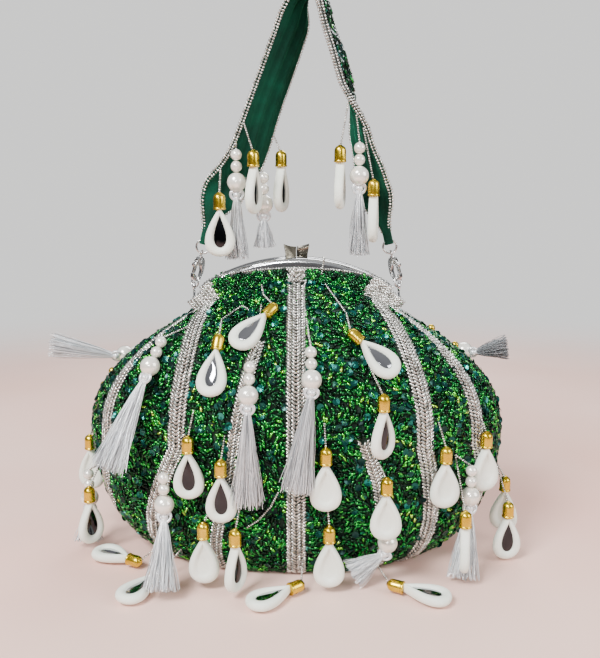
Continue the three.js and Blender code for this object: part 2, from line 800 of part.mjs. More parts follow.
// A pendant that hangs plumb in front of the cloth, from an anchor above it
function plumb({ angle, level, strand, turn = 0, out = 7, aside = 0, lean = 0 }) {
  const around = angle * degrees;
  const anchor = bagAnchor(around, level);
  const outward = new THREE.Vector3(Math.sin(around), -Math.cos(around), 0);
  const sideways = new THREE.Vector3(Math.cos(around), Math.sin(around), 0);
  const top = bagPoint(around, level).addScaledVector(outward, out).addScaledVector(sideways, aside);
  top.z -= strand;
  const face = new THREE.Vector3(Math.sin(turn * degrees), -Math.cos(turn * degrees), 0);
  const up = upward.clone().applyAxisAngle(face, lean * degrees);
  return { anchor, place: basis(top, up, face) };
}

// A pendant that lies on the cloth's slope, centred a little below its top
function lying({ angle, level, lean = 0, up: above, out, anchorLevel, anchorAngle = angle }) {
  const around = angle * degrees;
  const normal = bagNormal(around, level);
  const up = upward.clone().addScaledVector(normal, -upward.dot(normal)).normalize();
  up.applyAxisAngle(normal, lean * degrees);
  const top = bagPoint(around, level).addScaledVector(normal, out).addScaledVector(up, above);
  return { anchor: bagAnchor(anchorAngle * degrees, anchorLevel), place: basis(top, up, normal) };
}

// A drop that lies on the table in front of the bag
function onTable({ angle, level, reach: away, heading }) {
  const around = angle * degrees;
  const anchor = bagAnchor(around, level);
  const outward = new THREE.Vector3(Math.sin(around), -Math.cos(around), 0);
  const top = bagPoint(around, level).addScaledVector(outward, away).setZ(capRadius + 1);
  const up = new THREE.Vector3(-Math.cos(heading * degrees), -Math.sin(heading * degrees), 0.03);
  return { anchor, place: basis(top, up, upward) };
}

function pendant(name, kind, { anchor, place }, options) {
  const look = kind === "drop" ? "drop" : "silk";
  addMesh(name, look, geometryOf(pendantSolid(kind, anchor, place, options)));
}

function cluster(name, members) {
  const solids = members.map(([kind, spot, options]) => {
    return pendantSolid(kind, spot.anchor, spot.place, options);
  });
  addMesh(name, "silk", geometryOf(solids.reduce((whole, piece) => whole.add(piece))));
}

const dropStandOff = dropThickness / 2 + pendantStandOff;
const dropMiddle = capLength + dropLength / 2 - capOverlap;
const pearlStandOff = largePearlRadius + pendantStandOff / 2;

function bodyDrops() {
  const sloped = [
    ["drop_shoulder_left", { angle: -15, level: 0.82, lean: -33, anchorLevel: 0.93, anchorAngle: -16 }],
    ["drop_upper_left", { angle: -23, level: 0.71, lean: 0, anchorLevel: 0.87, anchorAngle: -30 }],
    ["drop_upper_right", { angle: 24, level: 0.75, lean: 38, anchorLevel: 0.88, anchorAngle: 20 }],
  ];
  for (const [name, spot] of sloped) {
    pendant(name, "drop", lying({ ...spot, up: dropMiddle, out: dropStandOff }));
  }
  const hung = [
    ["drop_belly_right", { angle: 21, level: 0.73, strand: 10, turn: 45, out: 18 }],
    ["drop_belly_left", { angle: -27, level: 0.6, strand: 12 }],
    ["drop_belly_inner_left", { angle: -18, level: 0.52, strand: 11 }],
    ["drop_belly_centre", { angle: 7, level: 0.56, strand: 11, turn: 180 }],
    ["drop_belly_inner_right", { angle: 21, level: 0.43, strand: 5, turn: 180, out: 11 }],
    ["drop_braid_right", { angle: 39.5, level: 0.56, strand: 12, turn: 190 }],
    ["drop_side_right", { angle: 58, level: 0.6, strand: 12, turn: 200 }],
    ["drop_foot_centre", { angle: 8, level: 0.3, strand: 11, turn: 180, out: 8 }],
    ["drop_foot_inner_left", { angle: -14, level: 0.32, strand: 14, turn: 60, out: 13 }],
    ["drop_foot_left", { angle: -23, level: 0.27, strand: 5, turn: 176, out: 10 }],
    ["drop_side_left", { angle: -93, level: 0.52, strand: 12, turn: 170 }],
  ];
  for (const [name, spot] of hung) {
    pendant(name, "drop", plumb(spot));
  }
  const laid = [
    ["drop_table_far_left", { angle: -50, level: 0.08, reach: 14, heading: 150 }],
    ["drop_table_left", { angle: -40, level: 0.08, reach: 14, heading: 242 }],
    ["drop_table_centre", { angle: 2, level: 0.08, reach: 13, heading: 215 }],
    ["drop_table_right", { angle: 24, level: 0.08, reach: 19, heading: 335 }],
  ];
  for (const [name, spot] of laid) {
    pendant(name, "drop", onTable(spot));
  }
}

function bodyTassels() {
  const slopedLeft = { angle: -46, level: 0.75, up: 14, out: pearlStandOff, anchorLevel: 0.87 };
  pendant("tassel_shoulder_left", "tassel", lying(slopedLeft), { side: 4, front: -6 });
  const inner = { angle: -12, level: 0.66, up: 14, out: pearlStandOff, anchorLevel: 0.78 };
  pendant("tassel_front_left", "tassel", lying(inner), { front: -20, side: 1 });
  const centre = { angle: 4, level: 0.7, up: 14, out: pearlStandOff, anchorLevel: 0.82 };
  pendant("tassel_front_centre", "tassel", lying(centre), { side: 9, front: -22 });
  const foot = { angle: -33, level: 0.46, strand: 9, out: 9 };
  pendant("tassel_foot_left", "tassel", plumb(foot), { front: 28, length: 34 });
  const footRight = { angle: 24, level: 0.28, strand: 3, out: 4.6 };
  pendant("tassel_foot_right", "tassel", plumb(footRight), { side: 58, front: 10, length: 18 });
  const sideways = { up: 16, out: pearlStandOff };
  const sideLeft = { ...sideways, angle: -110, level: 0.72, lean: 85, anchorLevel: 0.73, anchorAngle: -128 };
  pendant("tassel_side_left", "tassel", lying(sideLeft), { length: 36, front: 50, side: 14 });
  const sideRight = { ...sideways, angle: 112, level: 0.73, lean: -85, anchorLevel: 0.74, anchorAngle: 130 };
  pendant("tassel_side_right", "tassel", lying(sideRight), { length: 18, front: 45, side: -14 });
}

// Where two or three pendants share one knot at the foot of a braid
function braidEnds() {
  const left = { angle: -74, level: 0.36 };
  cluster("pendants_braid_end_left", [
    ["drop", plumb({ ...left, strand: 11, turn: 50, out: 8, aside: 6 })],
    ["tassel", plumb({ ...left, strand: 6, out: 8, aside: -9 }), { front: 20, length: 16 }],
  ]);
  const right = { angle: 46, level: 0.44 };
  cluster("pendants_braid_end_right", [
    ["tassel", plumb({ ...right, strand: 6, out: 8, aside: 6 }), { side: 8, front: 22, length: 34 }],
    ["drop", plumb({ ...right, strand: 26, turn: 80, out: 14, aside: -8 })],
  ]);
  const side = { angle: 80, level: 0.36 };
  cluster("pendants_side_end_right", [
    ["drop", plumb({ ...side, strand: 11, turn: 160, out: 8, aside: 4 })],
    ["drop", plumb({ ...side, strand: 17, turn: 10, out: 8, aside: -20 })],
  ]);
}

function rearPendants() {
  pendant("drop_rear_left", "drop", plumb({ angle: -145, level: 0.54, strand: 12, turn: -145 }));
  pendant("drop_rear_right", "drop", plumb({ angle: 145, level: 0.54, strand: 12, turn: 145 }));
  pendant("tassel_rear_centre", "tassel", plumb({ angle: 180, level: 0.54, strand: 10 }), { length: 36 });
}

// Pendants that hang from the strap's lining side, close to one of its edges
function fromStrap({ share, edge, strand, turn = 0, aside = 0, out = 0 }) {
  const { point, across, normal, width } = strapFrame(share);
  const outside = point.clone().addScaledVector(across, edge * (width - strapRollWidth) / 2);
  outside.addScaledVector(normal, strapWidth / 2);
  const anchor = firstMeeting([strapBand], outside, normal.clone().negate());
  anchor.addScaledVector(normal, strandRadius + clearance);
  const top = anchor.clone().add(new THREE.Vector3(aside, -out, -strand));
  const face = new THREE.Vector3(Math.sin(turn * degrees), -Math.cos(turn * degrees), 0);
  return { anchor, place: basis(top, upward, face) };
}

function strapPendants() {
  const drops = [
    ["strap_drop_left_upper", { share: 0.24, edge: -1, strand: 14, turn: 70, aside: 5, out: 4 }],
    ["strap_drop_left_lower", { share: 0.14, edge: -1, strand: 13, turn: 10, out: 10 }],
    ["strap_drop_left_rear", { share: 0.24, edge: 1, strand: 8, turn: 70, aside: 4 }],
    ["strap_drop_right_upper", { share: 0.73, edge: -1, strand: 22, turn: 80, aside: -4 }],
    ["strap_drop_right_lower", { share: 0.78, edge: -1, strand: 27, turn: 80, aside: 6 }],
  ];
  for (const [name, spot] of drops) {
    pendant(name, "drop", fromStrap(spot));
  }
  const tassels = [
    ["strap_tassel_left", { share: 0.2, edge: -1, strand: 3 }, strapTasselLength],
    ["strap_tassel_left_rear", { share: 0.18, edge: 1, strand: 2, aside: 1 }, strapTasselLength - 18],
    ["strap_tassel_right", { share: 0.755, edge: -1, strand: 14, aside: 2 }, strapTasselLength],
  ];
  for (const [name, spot, length] of tassels) {
    pendant(name, "tassel", fromStrap(spot), { length });
  }
}

const bagPanels = [panel("front_panel", 0), panel("rear_panel", Math.PI)];
basePanel();
lining();
frameHalf("frame_front", 1, frontEarInnerFace);
frameHalf("frame_rear", -1, rearEarInnerFace);
hingeRivet("hinge_rivet_left", -1);
hingeRivet("hinge_rivet_right", 1);
hardware("left", -1);
hardware("right", 1);
const strapBand = strap();
bodyDrops();
bodyTassels();
braidEnds();
rearPendants();
strapPendants();

export default clutch;
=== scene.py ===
import math
from types import SimpleNamespace

import bpy
import numpy as np
from mathutils import Matrix, Vector


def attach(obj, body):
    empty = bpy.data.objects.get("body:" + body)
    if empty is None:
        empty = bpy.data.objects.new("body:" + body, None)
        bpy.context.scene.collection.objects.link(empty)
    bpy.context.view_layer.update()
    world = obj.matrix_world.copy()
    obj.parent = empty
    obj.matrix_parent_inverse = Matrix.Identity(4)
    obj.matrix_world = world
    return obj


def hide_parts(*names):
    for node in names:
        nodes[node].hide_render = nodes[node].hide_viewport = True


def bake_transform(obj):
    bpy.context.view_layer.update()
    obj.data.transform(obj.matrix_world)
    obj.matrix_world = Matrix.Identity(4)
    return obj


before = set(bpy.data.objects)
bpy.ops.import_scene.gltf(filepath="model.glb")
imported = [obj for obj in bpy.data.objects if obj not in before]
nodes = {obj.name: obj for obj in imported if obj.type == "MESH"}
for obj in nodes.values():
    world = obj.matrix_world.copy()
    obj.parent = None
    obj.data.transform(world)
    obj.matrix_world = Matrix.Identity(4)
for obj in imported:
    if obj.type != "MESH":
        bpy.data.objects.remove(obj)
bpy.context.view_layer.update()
dice = np.random.default_rng(11)
mm = 0.001
print("stage: frame loaded")


# camera, floor and soft light
view = {
    "place": (2 * mm, -430 * mm, 207 * mm),
    "pitch": 10.4,  # degrees below level
    "lens": 41.1,
    "sensor": 36,
    "nearest": 10 * mm,
}
studio = {
    "floorSize": 8,
    "floorHeight": -0.2 * mm,
    "floorStops": [(0.35, (0.80, 0.47, 0.39)), (0.65, (0.88, 0.61, 0.53))],
    "floorFade": (0.35, 0.95),
    "wall": (0.86, 0.86, 0.85, 1),
    "wallStrength": 1.3,
    "skyStrength": 0.45,
    "skyStops": [
        (0.00, (0.10, 0.10, 0.10)), (0.50, (0.22, 0.22, 0.23)), (0.75, (0.75, 0.76, 0.78)),
        (1.00, (1.20, 1.20, 1.20)),
    ],
    "lamps": [
        # name, place, aim, size, watts
        ("keyLamp", (-0.55, -0.70, 0.95), (0, 0, 0.10), 0.42, 27),
        ("fillLamp", (0.90, -0.45, 0.55), (0, 0, 0.10), 0.6, 9),
        ("backLamp", (0.2, 0.9, 0.9), (0, 0, 0.12), 0.7, 10),
        ("sparkLamp", (-0.10, -0.95, 0.50), (0, 0, 0.10), 0.10, 3),
    ],
}


def deselect():
    bpy.ops.object.select_all(action="DESELECT")


def added(operator, **settings):
    # a new primitive, camera or lamp, selected alone
    deselect()
    operator(**settings)
    return bpy.context.object


def aimed(place, aim):
    return (Vector(aim) - Vector(place)).to_track_quat("-Z", "Y").to_euler()


def makeStudio():
    camera = added(bpy.ops.object.camera_add, location=view["place"])
    camera.rotation_euler = (math.radians(90 - view["pitch"]), 0, 0)
    camera.data.lens = view["lens"]
    camera.data.sensor_width = view["sensor"]
    camera.data.clip_start = view["nearest"]
    bpy.context.scene.camera = camera
    for name, place, aim, size, watts in studio["lamps"]:
        lamp = added(bpy.ops.object.light_add, type="AREA", location=place, rotation=aimed(place, aim))
        lamp.name = name
        lamp.data.size = size
        lamp.data.energy = watts
    makeSky()
    under = (0, 0, studio["floorHeight"])
    floor = added(bpy.ops.mesh.primitive_plane_add, size=studio["floorSize"], location=under)
    floor.name = "floor"
    floor.data.materials.append(floorFinish())


def makeSky():
    # light falls off from overhead downwards, and the camera sees a plain pale wall
    world = bpy.context.scene.world or bpy.data.worlds.new("studioSky")
    bpy.context.scene.world = world
    world.use_nodes = True
    wire = Wire(world.node_tree)
    way = wire.node("SeparateXYZ", None, {"Vector": wire.node("TexCoord", output="Generated")}, "Z")
    light = wire.node("ValToRGB", {"stops": studio["skyStops"]}, {"Fac": way * 0.5 + 0.5})
    lit = wire.node("Background", None, {"Color": light, "Strength": studio["skyStrength"]})
    seen = wire.node("Background", None, {"Color": studio["wall"], "Strength": studio["wallStrength"]})
    fromCamera = wire.node("LightPath", output="Is Camera Ray")
    both = wire.node("MixShader", None, {0: fromCamera, 1: lit, 2: seen})
    wire.plug(world.node_tree.nodes["World Output"].inputs["Surface"], both)


# shader wires: sums on a wire add Math nodes, and node() adds any other
class Wire:
    def __init__(self, tree, socket=None):
        self.tree = tree
        self.socket = socket

    def plug(self, inlet, value):
        if isinstance(value, Wire):
            self.tree.links.new(value.socket, inlet)
        else:
            inlet.default_value = value

    def node(self, kind, settings=None, inputs=None, output=0):
        made = self.tree.nodes.new("ShaderNode" + kind)
        for key, value in (settings or {}).items():
            if key == "stops":
                ramp = made.color_ramp.elements
                while len(ramp) < len(value):
                    ramp.new(0.5)
                for stop, (position, colour) in zip(ramp, value):
                    stop.position = position
                    stop.color = (*colour, 1)
            else:
                setattr(made, key, value)
        for key, value in (inputs or {}).items():
            self.plug(made.inputs[key], value)
        return Wire(self.tree, made.outputs[output])

    def sum(self, operation, first, second):
        return self.node("Math", {"operation": operation}, {0: first, 1: second})

    def __add__(self, other):
        return self.sum("ADD", self, other)

    def __mul__(self, other):
        return self.sum("MULTIPLY", self, other)

    __radd__ = __add__
    __rmul__ = __mul__


class Finish:
    # a material with its main shader; fixed values go straight on the sockets
    def __init__(self, name, **fixed):
        self.material = bpy.data.materials.new(name)
        self.material.use_nodes = True
        self.tree = self.material.node_tree
        self.shader = self.tree.nodes["Principled BSDF"]
        self.wire = Wire(self.tree)
        for key, value in fixed.items():
            self.set(key, value)

    def set(self, key, value):
        name = "".join(" " + c if c.isupper() else c for c in key).title()
        name = "Specular IOR Level" if key == "specular" else name
        self.wire.plug(self.shader.inputs[name], value)

    def place(self):
        return self.wire.node("TexCoord", output="Object")

    def noise(self, scale, detail=3.0):
        inputs = {"Vector": self.place(), "Scale": scale, "Detail": detail}
        return self.wire.node("TexNoise", None, inputs)

    def tone(self):
        return self.wire.node("Attribute", {"attribute_name": "tone"}, output="Fac")

    def colour(self, share, stops):
        self.set("baseColor", self.wire.node("ValToRGB", {"stops": stops}, {"Fac": share}))

    def bump(self, height, strength, distance):
        inputs = {"Height": height, "Strength": strength, "Distance": distance}
        self.set("normal", self.wire.node("Bump", None, inputs))


def floorFinish():
    # the paper fades out far from the bag, where the plain wall shows instead
    finish = Finish("floorPaper", roughness=0.7)
    finish.colour(finish.noise(3.0), studio["floorStops"])
    wire = finish.wire
    far = wire.node("VectorMath", {"operation": "LENGTH"}, {0: finish.place()}, "Value")
    near, gone = studio["floorFade"]
    span = {"Value": far, "From Min": near, "From Max": gone}
    fade = wire.node("MapRange", {"interpolation_type": "SMOOTHSTEP"}, span)
    paper = Wire(finish.tree, finish.shader.outputs[0])
    clear = wire.node("BsdfTransparent")
    mixed = wire.node("MixShader", None, {0: fade, 1: paper, 2: clear})
    wire.plug(finish.tree.nodes["Material Output"].inputs["Surface"], mixed)
    return finish.material


def tonedFinish(name, stops, shine, **fixed):
    # each bead or thread has its own tone, which sets its colour and shine
    finish = Finish(name, **fixed)
    tone = finish.tone()
    finish.colour(tone, stops)
    for key, (dark, change) in shine.items():
        finish.set(key, dark + tone * change)
    return finish.material


def bugleFinish():
    stops = [
        (0.00, (0.001, 0.008, 0.005)), (0.30, (0.002, 0.045, 0.014)), (0.55, (0.004, 0.160, 0.030)),
        (0.80, (0.020, 0.420, 0.050)), (0.93, (0.150, 0.640, 0.040)), (1.00, (0.480, 0.780, 0.090)),
    ]
    shine = {"roughness": (0.24, -0.1), "metallic": (0.8, 0.15), "coatWeight": (0.1, 0.3)}
    return tonedFinish("bugleGlass", stops, shine, specular=0.4, coatRoughness=0.05)


def sequinFinish():
    stops = [
        (0.00, (0.002, 0.014, 0.013)), (0.50, (0.003, 0.085, 0.070)), (0.85, (0.008, 0.190, 0.160)),
        (1.00, (0.110, 0.460, 0.385)),
    ]
    shine = {"metallic": (0.75, 0.15), "roughness": (0.3, -0.12)}
    return tonedFinish("sequinFoil", stops, shine, specular=0.7)


def silverFinish():
    stops = [(0.0, (0.20, 0.20, 0.18)), (0.4, (0.46, 0.46, 0.43)), (1.0, (0.84, 0.84, 0.80))]
    return tonedFinish("silverBead", stops, {"roughness": (0.32, -0.18)}, metallic=0.85, specular=0.8)


def silkFinish():
    stops = [
        (0.00, (0.07, 0.075, 0.08)), (0.12, (0.25, 0.27, 0.29)), (0.45, (0.62, 0.66, 0.69)),
        (1.00, (0.98, 0.99, 1.00)),
    ]
    shine = {"roughness": (0.38, -0.18), "metallic": (0.25, 0.2)}
    return tonedFinish("tasselSilk", stops, shine, sheenWeight=0.3, specular=0.7)


def grainFinish(name, stops, cloud, grain, roughness, bump, grainShare=0.0, **fixed):
    # a broad cloud shifts the colour, and a fine grain breaks up the shine and the face
    finish = Finish(name, **fixed)
    broad = finish.noise(*cloud)
    fine = finish.noise(*grain)
    finish.colour(broad * (1 - grainShare) + fine * grainShare, stops)
    plain, byCloud, byGrain = roughness
    finish.set("roughness", plain + broad * byCloud + fine * byGrain)
    finish.bump(fine, *bump)
    return finish.material


def velvetFinish():
    stops = [
        (0.30, (0.000, 0.014, 0.008)), (0.55, (0.000, 0.045, 0.024)), (0.80, (0.001, 0.090, 0.048)),
    ]
    sheen = {"sheenWeight": 0.45, "sheenRoughness": 0.35, "sheenTint": (0.02, 0.55, 0.28, 1)}
    return grainFinish(
        "velvetLining", stops, cloud=(60, 4.0), grain=(2600, 2.0), grainShare=0.3,
        roughness=(0.75, 0.2, 0), bump=(0.6, 0.25 * mm), specular=0.2, **sheen)


def wrapFinish():
    stops = [(0.25, (0.76, 0.82, 0.72)), (0.55, (0.86, 0.91, 0.82)), (0.80, (0.92, 0.96, 0.88))]
    return grainFinish(
        "dropWrap", stops, cloud=(90, 3.0), grain=(1400, 2.0), grainShare=0.3,
        roughness=(0.45, 0, 0.2), bump=(0.3, 0.15 * mm), sheenWeight=0.25, specular=0.35)


def capFinish():
    stops = [(0.30, (0.60, 0.40, 0.020)), (0.70, (0.78, 0.57, 0.055))]
    return grainFinish(
        "goldCap", stops, cloud=(140, 3.0), grain=(1500, 2.0),
        roughness=(0.2, 0, 0.14), bump=(0.15, 0.1 * mm), metallic=1.0)


def metalFinish(name, dark, pale, roughness):
    return grainFinish(
        name, [(0.3, dark), (0.7, pale)], cloud=(70, 5.0), grain=(1800, 2.0),
        roughness=(roughness, 0.1, 0.04), bump=(0.04, 0.05 * mm), metallic=1.0)


def clothFinish(name, dark, pale, threads=900):
    finish = Finish(name, roughness=0.85, sheenWeight=0.3)
    thread = finish.noise(threads, 2.0)
    finish.colour(finish.noise(35) * 0.6 + thread * 0.4, [(0.3, dark), (0.7, pale)])
    inputs = {"Vector": finish.place(), "Scale": threads, "Distortion": 1.5}
    weave = finish.wire.node("TexWave", {"bands_direction": "DIAGONAL"}, inputs)
    finish.bump(weave * 0.5 + thread, 0.5, 0.3 * mm)
    return finish.material


def mirrorFinish():
    finish = Finish("dropMirror", metallic=1.0)
    cloud = finish.noise(60)
    stops = [(0.0, (0.010, 0.011, 0.014)), (1.0, (0.43, 0.44, 0.47))]
    # painted reflection: the tone makes an upright mirror dark and a tilted one pale, and the cloud
    # breaks it up a little
    finish.colour(finish.tone() * 0.85 + cloud * 0.15, stops)
    finish.set("roughness", 0.03 + cloud * 0.07)
    return finish.material


def pearlFinish():
    finish = Finish("pearlLustre", coatWeight=1.0, coatRoughness=0.05, specular=0.8, metallic=0.3)
    cloud = finish.noise(160, 4.0)
    stops = [(0.30, (0.84, 0.81, 0.72)), (0.55, (0.90, 0.88, 0.80)), (0.75, (0.95, 0.94, 0.88))]
    finish.colour(cloud, stops)
    finish.set("roughness", 0.16 + cloud * 0.1)
    return finish.material


makeStudio()
finishes = {
    "bugle": bugleFinish(),
    "sequin": sequinFinish(),
    "silver": silverFinish(),
    "cloth": clothFinish("netCloth", (0.001, 0.010, 0.006), (0.003, 0.030, 0.014)),
    "baseCloth": clothFinish("baseCloth", (0.003, 0.030, 0.016), (0.006, 0.060, 0.030)),
    "velvet": velvetFinish(),
    "wrap": wrapFinish(),
    "mirror": mirrorFinish(),
    "cap": capFinish(),
    "pearl": pearlFinish(),
    "silk": silkFinish(),
    "chrome": metalFinish("frameChrome", (0.70, 0.71, 0.72), (0.84, 0.85, 0.86), 0.07),
    "steel": metalFinish("claspSteel", (0.50, 0.50, 0.50), (0.68, 0.68, 0.67), 0.16),
    "tab": metalFinish("tabSteel", (0.07, 0.064, 0.050), (0.21, 0.19, 0.150), 0.20),
}
print("stage: studio and finishes")


# modelling helpers
def newPiece(name, mesh):
    piece = bpy.data.objects.new(name, mesh)
    bpy.context.scene.collection.objects.link(piece)
    return piece


def drawn(name, points, edges, faces=()):
    # a few points joined up, as a start for a spin or a pull
    mesh = bpy.data.meshes.new(name)
    mesh.from_pydata(points, edges, faces)
    return newPiece(name, mesh)


def activate(piece):
    deselect()
    piece.select_set(True)
    bpy.context.view_layer.objects.active = piece


def applyModifier(piece, kind, **settings):
    activate(piece)
    modifier = piece.modifiers.new(kind.title(), kind)
    for key, value in settings.items():
        setattr(modifier, key, value)
    bpy.ops.object.modifier_apply(modifier=modifier.name)
    return piece


def editAll(piece):
    activate(piece)
    bpy.ops.object.mode_set(mode="EDIT")
    bpy.ops.mesh.select_all(action="SELECT")


def editDone():
    bpy.ops.object.mode_set(mode="OBJECT")


def closeHoles():
    # in edit mode: open ends are filled
    bpy.ops.mesh.select_all(action="DESELECT")
    bpy.ops.mesh.select_non_manifold()
    bpy.ops.mesh.fill()
    editDone()


def tidyFaces(piece, gap=0.01 * mm):
    editAll(piece)
    bpy.ops.mesh.remove_doubles(threshold=gap)
    bpy.ops.mesh.normals_make_consistent(inside=False)
    editDone()
    return piece


def smooth(piece, degrees=40):
    activate(piece)
    bpy.ops.object.shade_smooth_by_angle(angle=math.radians(degrees))
    return piece


def wear(piece, *names):
    piece.data.materials.clear()
    for name in names:
        piece.data.materials.append(finishes[name])
    return piece


def fit(piece, body, node=None):
    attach(piece, body)
    if node:
        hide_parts(node)
    return piece


def keepMesh(piece, finish):
    # for what repeats: the mesh is kept and its object goes
    mesh = wear(piece, finish).data
    bpy.data.objects.remove(piece)
    return mesh


def placed(mesh, matrix):
    copy = mesh.copy()
    copy.transform(matrix)
    return newPiece("part", copy)


def joined(name, pieces):
    deselect()
    for piece in pieces:
        piece.select_set(True)
    bpy.context.view_layer.objects.active = pieces[0]
    if len(pieces) > 1:
        bpy.ops.object.join()
    pieces[0].name = name
    pieces[0].data.name = name
    return pieces[0]


def shift(x, y, z):
    return Matrix.Translation((x, y, z))


def turned(degrees, axis):
    return Matrix.Rotation(math.radians(degrees), 4, axis)


def meshNumbers(data, key, width=1, kind=int):
    values = np.zeros(len(data) * width, kind)
    data.foreach_get(key, values)
    return values.reshape(-1, width) if width > 1 else values


def gridPiece(name, columns, rows, place):
    # a flat grid laid on a surface: place() takes the two shares from 0 to 1
    piece = added(bpy.ops.mesh.primitive_grid_add, x_subdivisions=columns, y_subdivisions=rows, size=2)
    piece.name = name
    flat = meshNumbers(piece.data.vertices, "co", 3, float)
    points = place((flat[:, 0] + 1) / 2, (flat[:, 1] + 1) / 2)
    piece.data.vertices.foreach_set("co", points.ravel())
    piece.data.update()
    return piece


def spunPiece(profile, steps):
    # a profile of (radius, height) in millimetres, spun about Z
    points = [(radius * mm, 0, height * mm) for radius, height in profile]
    piece = drawn("spun", points, [(i, i + 1) for i in range(len(points) - 1)])
    editAll(piece)
    bpy.ops.mesh.spin(steps=steps, angle=2 * math.pi, center=(0, 0, 0), axis=(0, 0, 1))
    editDone()
    return tidyFaces(piece)


def bakeCells(mesh, copies, fill=0.42):
    # each copy has one small square of the bake map to itself
    cells = math.ceil(math.sqrt(copies))
    totals = meshNumbers(mesh.polygons, "loop_total")
    owner = np.arange(len(totals)) // (len(totals) // copies)
    corner = np.concatenate([np.arange(total) for total in totals])
    turn = 2 * np.pi * (corner + 0.5) / np.repeat(totals, totals)
    owner = np.repeat(np.minimum(owner, copies - 1), totals)
    across = (owner % cells + 0.5 + fill * np.cos(turn)) / cells
    up = (owner // cells + 0.5 + fill * np.sin(turn)) / cells
    layer = mesh.uv_layers.new(name="OFBake")
    layer.data.foreach_set("uv", np.stack([across, up], -1).ravel())


def addTones(mesh, values):
    tone = mesh.attributes.new("tone", "FLOAT", "POINT")
    values = np.broadcast_to(np.float32(values), len(mesh.vertices))
    tone.data.foreach_set("value", values.copy())


lowestBead = 0.1 * mm  # none dips below the base


def scattered(name, mesh, turns, centres, tones, bake=True):
    # many copies of one small modelled mesh, as one piece
    shape = meshNumbers(mesh.vertices, "co", 3, float)
    corners = meshNumbers(mesh.loops, "vertex_index")
    starts = meshNumbers(mesh.polygons, "loop_start")
    totals = meshNumbers(mesh.polygons, "loop_total")
    soft = [face.use_smooth for face in mesh.polygons]
    count = len(centres)
    points = np.einsum("nij,vj->nvi", turns, shape) + centres[:, None]
    points[..., 2] += np.maximum(lowestBead - points[..., 2].min(axis=1), 0)[:, None]
    step = np.arange(count)[:, None]
    whole = bpy.data.meshes.new(name)
    whole.vertices.add(count * len(shape))
    whole.vertices.foreach_set("co", points.ravel())
    whole.loops.add(count * len(corners))
    whole.loops.foreach_set("vertex_index", (corners + step * len(shape)).ravel())
    whole.polygons.add(count * len(starts))
    whole.polygons.foreach_set("loop_start", (starts + step * len(corners)).ravel())
    whole.polygons.foreach_set("loop_total", np.tile(totals, count))
    whole.polygons.foreach_set("use_smooth", np.tile(soft, count))
    whole.update(calc_edges=True)
    addTones(whole, np.repeat(tones, len(shape)))
    if bake:
        bakeCells(whole, count)
    for material in mesh.materials:
        whole.materials.append(material)
    return newPiece(name, whole)


def unit(vectors):
    return vectors / np.linalg.norm(vectors, axis=-1, keepdims=True)


def turnsFrom(along, normal):
    # bead axis Z along, Y out of the cloth
    along = unit(along)
    out = unit(normal - along * np.sum(normal * along, -1, keepdims=True))
    return np.stack([np.cross(out, along), out, along], -1)


def leaning(run, side, lie):
    # turned from run towards side, by lie in radians
    return run * np.cos(lie)[..., None] + side * np.sin(lie)[..., None]


def easeBetween(values, low, high):
    share = np.clip((values - low) / (high - low), 0, 1)
    return share * share * (3 - 2 * share)


def lengthsAlong(line):
    # how far each point of a line is from its start
    return np.concatenate([[0], np.cumsum(np.linalg.norm(np.diff(line, axis=0), axis=1))])


def pointsAlong(at, lengths, line):
    return np.stack([np.interp(at, lengths, line[:, i]) for i in range(3)], -1)


# small beads: modelled once
beadSizes = {
    "bugle": (0.78 * mm, 3.1 * mm),  # radius, length
    "plait": (0.68 * mm, 3.2 * mm),
    "tubeSides": 6,
    "sequinRadius": 2.0 * mm,
    "sequinCup": 0.35 * mm,
    "sequinSheet": 0.15 * mm,
    "seedRadius": 0.85 * mm,
    "seedHeight": 0.82,  # of its width
    "seedPitch": 1.55 * mm,
}
seedTones = (2, 1.6)  # how pale and dark seed beads are shared out


def tubeBead(name, finish):
    radius, length = beadSizes[name]
    sides = beadSizes["tubeSides"]
    bead = added(bpy.ops.mesh.primitive_cylinder_add, vertices=sides, radius=radius, depth=length)
    return keepMesh(smooth(bead, degrees=180), finish)


def sequinDisc():
    radius = beadSizes["sequinRadius"]
    disc = added(bpy.ops.mesh.primitive_circle_add, vertices=8, radius=radius, fill_type="TRIFAN")
    disc.data.transform(turned(90, "X"))
    middle = min(disc.data.vertices, key=lambda point: point.co.length)
    middle.co.y = -beadSizes["sequinCup"]  # a cupped sequin
    return keepMesh(applyModifier(disc, "SOLIDIFY", thickness=beadSizes["sequinSheet"]), "sequin")


def seedBead():
    radius = beadSizes["seedRadius"]
    bead = added(bpy.ops.mesh.primitive_uv_sphere_add, segments=6, ring_count=4, radius=radius)
    editAll(bead)
    bpy.ops.transform.resize(value=(1, 1, beadSizes["seedHeight"]))
    editDone()
    return keepMesh(smooth(bead, degrees=180), "silver")


def silverTones(count):
    return dice.beta(*seedTones, count)


bugleMesh = tubeBead("bugle", "bugle")
plaitMesh = tubeBead("plait", "silver")
sequinMesh = sequinDisc()
seedMesh = seedBead()
print("stage: beads modelled")


